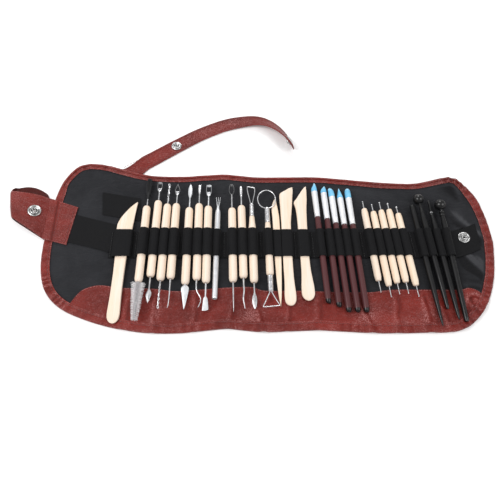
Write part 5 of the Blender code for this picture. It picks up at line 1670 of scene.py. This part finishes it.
def square_scraper():
    """Square strip loop and trapezoid scraper."""
    body = "square_scraper"
    wood_handle(body, 46.3, -47.8)
    s = Shape()
    shank(s, 43.0, 61.0, 0.85)
    neck_plate(s, 61.7, 65.6, 2.2, 2.8)
    strip_loop(s, loop_path(69.0, 2.85, 4.9, 36, 5.0), 1.35, far_lean=62)
    shank(s, -64.0, -45.0, 0.85)
    blade(s, [(-63.2, -0.9, 0.9, 0.85), (-64.6, -1.9, 1.9, 0.7), (-66.0, -2.2, 2.4, 0.55),
              (-71.0, -2.6, 3.0, 0.45), (-76.4, -3.0, 3.4, 0.35), (-77.8, -3.1, 2.9, 0.28),
              (-78.7, -3.1, 0.4, 0.2)], 3.4)
    steel_piece(body, s, material=SATIN)


def spoon_needle():
    """Oval strip loop and needle."""
    body = "spoon_needle"
    wood_handle(body, 43.8, -46.8)
    s = Shape()
    shank(s, 41.0, 62.0, 0.85)
    strip_loop(s, loop_path(68.5, 2.75, 6.3, 44, 2.3), 1.5, far_lean=40, tone=0.6)
    shank(s, -52.0, -44.5, 0.9)
    s.stations([(-50.0, 0.85), (-64.0, 0.72), (-74.0, 0.5), (-79.2, 0.2), (-79.8, 0.08)], 12)
    steel_piece(body, s)


def bent_rod():
    """Narrow spatula and bent rod."""
    body = "bent_rod"
    wood_handle(body, 47.0, -42.4)
    s = Shape()
    shank(s, 44.0, 60.0, 0.9)
    blade(s, [(58.5, -0.95, 0.95, 0.9), (62.0, -1.3, 1.3, 0.62), (68.0, -1.5, 1.5, 0.45),
              (72.4, -1.25, 1.25, 0.34), (73.5, -0.5, 0.5, 0.2)], 2.2)
    s.tube(smooth_path([(0, 0, -41), (0, 0, -50), (0.25, 0, -56), (-0.5, 0, -62), (-0.75, 0, -66),
                        (-0.1, 0, -71), (0.6, 0, -76.3)], 6),
           np.concatenate([np.full(20, 0.95), np.linspace(0.95, 0.38, 17)]), 10)
    steel_piece(body, s)


def leaf_blade():
    """Wire loop in a ferrule, and a leaf blade."""
    body = "leaf_blade"
    wood_handle(body, 33.0, -47.5, neck=16.0)
    s = Shape()
    ferrule(s, 33.15, 49.2, 2.72, 2.35)
    s.tube(smooth_path([(0.8, 0, 46), (1.3, 0, 51), (2.2, 0, 56), (3.7, 0, 62.5), (4.3, 0, 67.5),
                        (4.15, 0, 70.4), (3.6, 0, 71.2), (-3.6, 0, 72.9), (-4.25, 0, 72.4),
                        (-4.35, 0, 68.5), (-3.3, 0, 62.0), (-1.9, 0, 55.0), (-1.2, 0, 50.5),
                        (-0.8, 0, 46)], 4), 0.5, 10)
    shank(s, -60.0, -45.5, 0.85)
    blade(s, [(-58.6, -0.85, 0.85, 0.8), (-60.8, -1.4, 1.4, 0.65), (-64.0, -2.4, 2.3, 0.6),
              (-67.6, -2.65, 2.6, 0.55), (-72.0, -2.0, 2.1, 0.45), (-75.6, -0.8, 0.9, 0.3),
              (-77.0, -0.12, 0.12, 0.1)])
    steel_piece(body, s, sharp=32)


def ribbon_loop():
    """Ring in a ferrule, and a triangle in a ferrule."""
    body = "ribbon_loop"
    wood_handle(body, 25.0, -39.0, radius=RIBBON_R, neck=12.0, dome=2.6)
    s = Shape()
    ferrule(s, 25.2, 44.2, 3.05, 2.75)
    turns = np.radians(np.linspace(-76, 256, 60))
    ring = [(10.3 * math.cos(t), 0, 56.0 + 12.0 * math.sin(t)) for t in turns]
    s.tube([(-0.9, 0, 41.5), (-1.2, 0, 43.8), *ring[::-1], (1.2, 0, 43.8), (0.9, 0, 41.5)], 0.58, 10)
    ferrule(s, -57.4, -39.2, 2.75, 3.05)
    s.tube(smooth_path([(0.8, 0, -54.5), (1.2, 0, -58.0), (4.2, 0, -64.5), (8.0, 0, -71.4), (8.3, 0, -72.6),
                        (7.4, 0, -73.3), (-7.4, 0, -74.3), (-8.35, 0, -73.7), (-8.0, 0, -72.4),
                        (-4.2, 0, -64.5), (-1.2, 0, -58.0), (-0.8, 0, -54.5)], 5), 0.58, 10)
    steel_piece(body, s, sharp=32)


def ferrule(shape, near, far, near_radius, far_radius):
    """Drawn metal ferrule with rings pressed in near its ends and in its middle, and a rolled lip."""
    length = far - near

    def r(u):
        return near_radius + (far_radius - near_radius) * u

    profile = [(0.05, near + 0.2), (r(0) - 0.5, near), (r(0) - 0.08, near), (r(0) + 0.12, near + 0.3),
               (r(0), near + 0.8)]
    for groove in (0.12, 0.2, 0.44, 0.52, 0.6, 0.80, 0.88):
        along = near + groove * length
        base = r(groove)
        profile += [(base, along - 0.55), (base - 0.2, along - 0.25), (base - 0.2, along + 0.25),
                    (base, along + 0.55)]
    profile += [(r(1), far - 0.7), (r(1) - 0.12, far - 0.2), (r(1) - 0.5, far), (0.05, far - 0.1)]
    turn(shape, profile, 36)


def tube_fork():
    """Metal tube with three prongs."""
    body = "tube_fork"
    s = Shape()
    turn(s, [(2.15, -64.6), (2.5, -65.0), (2.75, -64.6), (2.8, -62.5), (2.95, -40), (TUBE_R, -8),
             (TUBE_R, 20), (TUBE_R - 0.02, 36), (TUBE_R - 0.25, 39.5), (2.4, 41.6), (1.75, 43.4),
             (1.5, 45.8), (1.0, 46.2), (0.05, 46.2), (0.05, 43.0), (1.2, 41.0), (2.0, 36.0), (2.15, 0.0)],
         36, closed=True)
    for spread in (-2.3, 0.0, 2.3):
        s.tube(smooth_path([(spread * 0.2, 0, 43.0), (spread * 0.35, 0, 47.0), (spread * 0.7, 0.1, 52.0),
                            (spread, 0, 59.0)], 5), np.linspace(0.48, 0.26, 16), 8)
    finished(s, "tube_fork_metal", SATIN, body, (body,), TOOLS[body], 40)


def sticks():
    """The three flat boxwood tools."""
    wooden_stick("pointed_stick", [
        (58.4, 0.1, 0.5, 0.2), (56.5, -1.1, 0.9, 0.4), (53.0, -2.6, 1.4, 0.6), (48.0, -4.0, 2.1, 0.75),
        (41.0, -4.5, 3.0, 0.85), (33.0, -4.1, 3.8, 0.95), (20.0, -3.9, 3.9, 1.0), (0.0, -3.9, 3.9, 1.0),
        (-20.0, -3.6, 3.6, 1.0), (-40.0, -2.9, 2.9, 1.0), (-54.0, -2.0, 2.2, 0.95),
        (-64.0, -1.1, 1.5, 0.75), (-71.0, -0.2, 0.7, 0.35), (-73.2, 0.1, 0.45, 0.15)], 1.7, PEACH_WOOD)
    wooden_stick("slanted_stick", [
        (73.4, 9.0, 9.5, 0.2), (72.2, 5.6, 9.6, 0.32), (70.0, 2.2, 9.75, 0.45), (67.0, -2.6, 9.6, 0.55),
        (64.4, -5.6, 9.4, 0.65), (62.0, -6.1, 9.1, 0.72), (56.0, -6.1, 8.6, 0.8), (48.0, -5.8, 7.9, 0.86),
        (38.0, -5.6, 6.8, 0.92), (24.0, -5.3, 5.5, 1.0), (8.0, -5.2, 5.2, 1.0), (-20.0, -5.1, 5.2, 1.0),
        (-40.0, -4.8, 5.6, 1.0), (-52.0, -4.9, 6.4, 1.0), (-61.0, -5.3, 7.1, 0.95),
        (-66.5, -5.0, 6.9, 0.88), (-70.0, -3.6, 5.5, 0.72), (-72.0, -1.2, 3.2, 0.45),
        (-72.4, 0.2, 1.8, 0.2)], 2.1)
    wooden_stick("hooked_stick", [
        (74.4, 7.0, 7.6, 0.2), (72.0, 4.6, 7.7, 0.36), (68.0, 1.7, 7.8, 0.5), (62.0, -2.0, 7.6, 0.62),
        (57.0, -5.2, 7.4, 0.72), (53.8, -7.6, 7.1, 0.75), (51.8, -7.9, 6.9, 0.78), (49.0, -7.2, 6.6, 0.8),
        (43.0, -6.1, 6.1, 0.86), (34.0, -5.5, 5.7, 0.95), (20.0, -5.2, 5.3, 1.0), (4.0, -5.2, 5.2, 1.0),
        (-16.0, -4.9, 4.9, 1.0), (-30.0, -4.9, 5.3, 1.0), (-42.0, -5.4, 6.5, 1.0), (-52.0, -6.1, 7.6, 0.95),
        (-58.5, -6.2, 7.8, 0.9), (-62.5, -5.2, 6.9, 0.8), (-65.4, -3.0, 4.8, 0.6), (-66.8, -0.4, 2.2, 0.3)],
        2.1)


# Shapers: (body, ferrule's near and far end, handle's near end, whether that is slanted, tip's sections)
SHAPERS = [
    ("chisel_shaper", 33.0, 66.5, -71.0, True, [
        (11.6, 0.35, 0.25, 0.9), (10.0, 1.05, 0.5, 1.1), (7.5, 2.0, 0.95, 0.75), (4.5, 3.05, 1.8, 0.15),
        (2.0, 3.35, 2.75), (0.9, 3.4, 3.2)]),
    ("angle_shaper", 30.5, 64.5, -75.0, True, [
        (9.1, 0.35, 0.35, 1.5), (8.0, 1.2, 0.85, 1.25), (6.2, 2.2, 1.5, 0.7), (4.0, 3.1, 2.3, 0.2),
        (2.0, 3.35, 2.95), (0.9, 3.4, 3.2)]),
    ("cup_shaper", 25.0, 59.5, -80.5, False, [
        (11.7, 0.7, 0.5, -1.3), (11.0, 1.7, 1.1, -1.1), (9.4, 2.7, 1.8, -0.6), (7.0, 3.2, 2.4, -0.15),
        (4.0, 3.4, 2.9), (0.9, 3.4, 3.2)]),
    ("cone_shaper", 23.3, 57.7, -80.5, False, [
        (13.1, 0.15), (12.6, 0.45), (10.0, 1.15), (6.5, 2.05), (3.2, 2.9), (0.9, 3.35, 3.2)]),
    ("round_shaper", 23.5, 57.6, -80.5, False, [
        (12.9, 0.5), (12.5, 1.35), (11.5, 2.3), (9.8, 3.0), (7.5, 3.35), (4.0, 3.42, 3.3),
        (0.9, 3.4, 3.2)]),
]


def shapers():
    """Rubber-tipped shapers: lacquered handle, metal ferrule and silicone tip."""
    for body, low, high, near, slanted, tip in SHAPERS:
        root = high + 0.3
        handle = Shape()
        end = [(near + 3.6, 3.12), (near + 2.2, 2.85), (near + 1.1, 2.3, 2.1, 0.1),
               (near + 0.4, 1.5, 1.3, 0.2), (near + 0.1, 0.6, 0.5, 0.3)]
        if slanted:
            end = [(near + 4.0, 3.12), (near + 2.4, 2.85, 2.8, 0.1), (near + 1.1, 2.3, 2.1, 0.45),
                   (near + 0.4, 1.4, 1.2, 0.85), (near + 0.1, 0.5, 0.5, 1.1)]
        handle.stations([
            (low - 0.1, 2.3), (low - 0.12, 2.85), (low - 0.6, 3.05), (low - 4.0, 3.15),
            (low - 14.0, SHAPER_R), (-20.0, SHAPER_R + 0.02), (near + 30, SHAPER_R - 0.02),
            (near + 13.0, SHAPER_R - 0.05), *end,
        ], 28, tone=lambda a, n=near: float(smoothstep(n + 5.4, n + 4.2, a)), longest=3.0)
        finished(handle, body + "_lacquer", LACQUER, body, (body + "_handle",),
                 TOOLS[body], 45)
        metal = Shape()
        profile = [(2.5, low), (3.0, low - 0.05), (3.2, low + 0.15), (3.22, low + 0.5), (3.12, low + 0.9)]
        for groove in (2.0, 3.0, 4.0):
            profile += [(3.15, low + groove - 0.35), (2.98, low + groove - 0.1), (2.98, low + groove + 0.1),
                        (3.15, low + groove + 0.35)]
        profile += [(3.22, low + 8), (3.32, low + 16), (3.4, high - 11), (3.46, high - 4),
                    (3.5, high - 1.2), (3.52, high - 0.5), (3.44, high - 0.08), (3.2, high),
                    (3.0, high - 0.2), (3.0, high - 9), (2.5, high - 14)]
        turn(metal, profile, 36, closed=True)
        finished(metal, body + "_sleeve", PALE_METAL, body, (body + "_ferrule",),
                 TOOLS[body], 40)
        rubber = Shape()
        sections = [(root + s[0], *s[1:]) for s in tip] + [(root + 0.2, 3.38, 3.2), (root, 3.2, 3.1),
                                                           (root - 0.3, 2.6), (root - 7.5, 2.4)]
        top = sections[0][0]
        rubber.stations(sections, 28, squareness=2.15, tone=lambda a,
                        t=top: float(smoothstep(t - 4.0, t, a)), longest=1.0)
        finished(rubber, body + "_silicone", SILICONE, body, (body + "_tip",), TOOLS[body],
                 60)


def ball_end(shape, neck, tip, ball, wire):
    """Steel pin with a ball on its end."""
    sign = 1 if tip > neck else -1
    middle = tip - sign * ball
    shape.tube([(0, 0, neck), (0, 0, (neck + middle) / 2), (0, 0, middle)],
               [wire * 1.15, wire, wire * 0.85], 14)
    profile = [(max(0.02, ball * math.sin(t)), middle - ball * math.cos(t))
               for t in np.linspace(0.05, math.pi - 0.05, 15)]
    turn(shape, profile, 22)


def ball_styli():
    rows = ((1, 54.0, 43.7, -45.4, -58.5, 0.75), (2, 50.2, 40.1, -51.4, -63.9, 0.85),
            (3, 52.8, 41.9, -48.1, -60.6, 0.95), (4, 51.5, 42.9, -47.0, -60.0, 1.15),
            (5, 47.0, 37.6, -50.9, -63.4, 1.3))
    for number, far_tip, far, near, near_tip, ball in rows:
        body = f"ball_stylus_{number}"
        wood = Shape()
        r = STYLUS_R

        def end(edge, sign):
            """Rounded end with a turned bead, from the pin outwards."""
            steps = [(0.75, 0.9), (0.95, 0.1), (1.9, 0.0), (2.55, 0.35), (3.0, 1.0), (3.2, 1.9),
                     (3.15, 2.6), (3.28, 3.1), (3.5, 4.0), (r - 0.05, 5.6)]
            return [(a, edge - sign * b) for a, b in steps]

        body_line = [(r + 0.03 * math.sin(k), far - 5.6 - (far - near - 11.2) * k / 12)
                     for k in range(1, 12)]
        turn(wood, end(far, 1) + body_line + end(near, -1)[::-1], 32)
        finished(wood, body + "_wood", PEACH_WOOD if number > 1 else WOOD, body, (body,),
                 TOOLS[body], 50)
        steel = Shape()
        ball_end(steel, far - 0.5, far_tip, ball, 0.62)
        ball_end(steel, near + 0.5, near_tip, 0.62, 0.52)
        for edge, sign in ((far, 1), (near, -1)):
            turn(steel, [(0.3, edge - sign * 0.2), (1.05, edge - sign * 0.05), (1.1, edge + sign * 0.35),
                         (0.75, edge + sign * 0.6), (0.3, edge + sign * 0.6)], 18)
        finished(steel, body + "_points", STEEL, body, (), TOOLS[body], 40)


def black_tool(body, profile, extra=None):
    shape = Shape()
    turn(shape, profile, 32)
    finished(shape, body + "_rod", BLACK, body, (body,), TOOLS[body], 42)
    if extra is not None:
        finished(extra, body + "_tip", STEEL, body, (), TOOLS[body], 42)


def ball_profile(middle, radius, neck):
    """(radius, along) down a ball from its far pole to its neck."""
    last = math.pi - math.asin(neck / radius)
    return [(max(0.05, radius * math.sin(t)), middle + radius * math.cos(t))
            for t in np.linspace(0.02, last, 20)]


def rod_line(rows):
    """The (radius, along) rows of a rod with more between them, so that its outline is smooth."""
    return [(r, a) for a, r in eased([(a, r) for r, a in rows], 4.0)]


def black_tools():
    """The four black plastic tools at the right end."""
    body = "black_taper_point"
    black_tool(body, [(0.05, 48.5), (2.0, 48.5), (2.6, 48.3), (2.9, 47.8)] + rod_line(
        [(3.0, 47.0), (3.0, 20), (3.1, -20), (2.7, -55), (1.8, -80), (1.0, -92), (0.35, -95.3)])
        + [(0.05, -95.6)])
    body = "black_ball_end"
    black_tool(body, ball_profile(55.2, 6.1, 1.55) + rod_line(
        [(1.5, 48.4), (1.55, 46), (2.2, 40), (3.1, 28), (3.2, 0), (3.0, -40), (2.3, -66), (1.8, -75)])
        + [(1.3, -76.4), (0.05, -76.8)])
    body = "black_needle_point"
    tip = Shape()
    # the collar and the pin out of it are darkened: painted shade
    tip.tube([(0, 0, 39.0), (0, 0, 42.5)], 1.35, 18, tone=0.8)
    turn(tip, [(0.05, 39.35), (2.2, 39.3), (2.35, 38.9), (2.35, 38.2), (2.1, 37.9), (0.05, 37.9)], 28,
         tone=0.8)
    black_tool(body, [(0.05, 55.2), (0.55, 55.1), (1.0, 54.5), (1.35, 52.5), (1.5, 48.0), (1.5, 41.5),
                      (1.3, 39.6), (2.1, 39.0), (2.2, 38.0), (2.2, 36.8), (1.85, 36.2)] + rod_line(
        [(1.85, 35.5), (2.4, 30), (3.1, 22), (3.2, 0), (3.0, -40), (2.1, -75), (1.2, -86), (0.5, -88)])
        + [(0.05, -88.4)], tip)
    body = "black_knob_end"
    black_tool(body, ball_profile(47.4, 6.4, 1.85) + [
        (1.8, 40.7), (1.9, 40.0), (2.1, 39.0), (2.9, 38.7), (3.15, 38.2), (3.15, 37.4), (2.9, 36.9),
        (2.2, 36.5), (2.15, 35.7), (2.2, 35.2), (2.9, 34.9), (3.15, 34.4), (3.1, 33.7), (2.85, 33.2),
        (2.3, 32.9)] + rod_line(
            [(2.3, 32.0), (2.9, 26), (3.2, 10), (3.0, -50), (2.6, -78), (2.4, -88)])
        + [(2.0, -89.7), (0.05, -90.1)])


for make in (wooden_knife, wire_brush, diamond_blade, twisted_wire, hooked_needle, spear_spatula, bent_hook,
             square_scraper, spoon_needle, bent_rod, leaf_blade, ribbon_loop, tube_fork, sticks, shapers,
             ball_styli, black_tools):
    make()
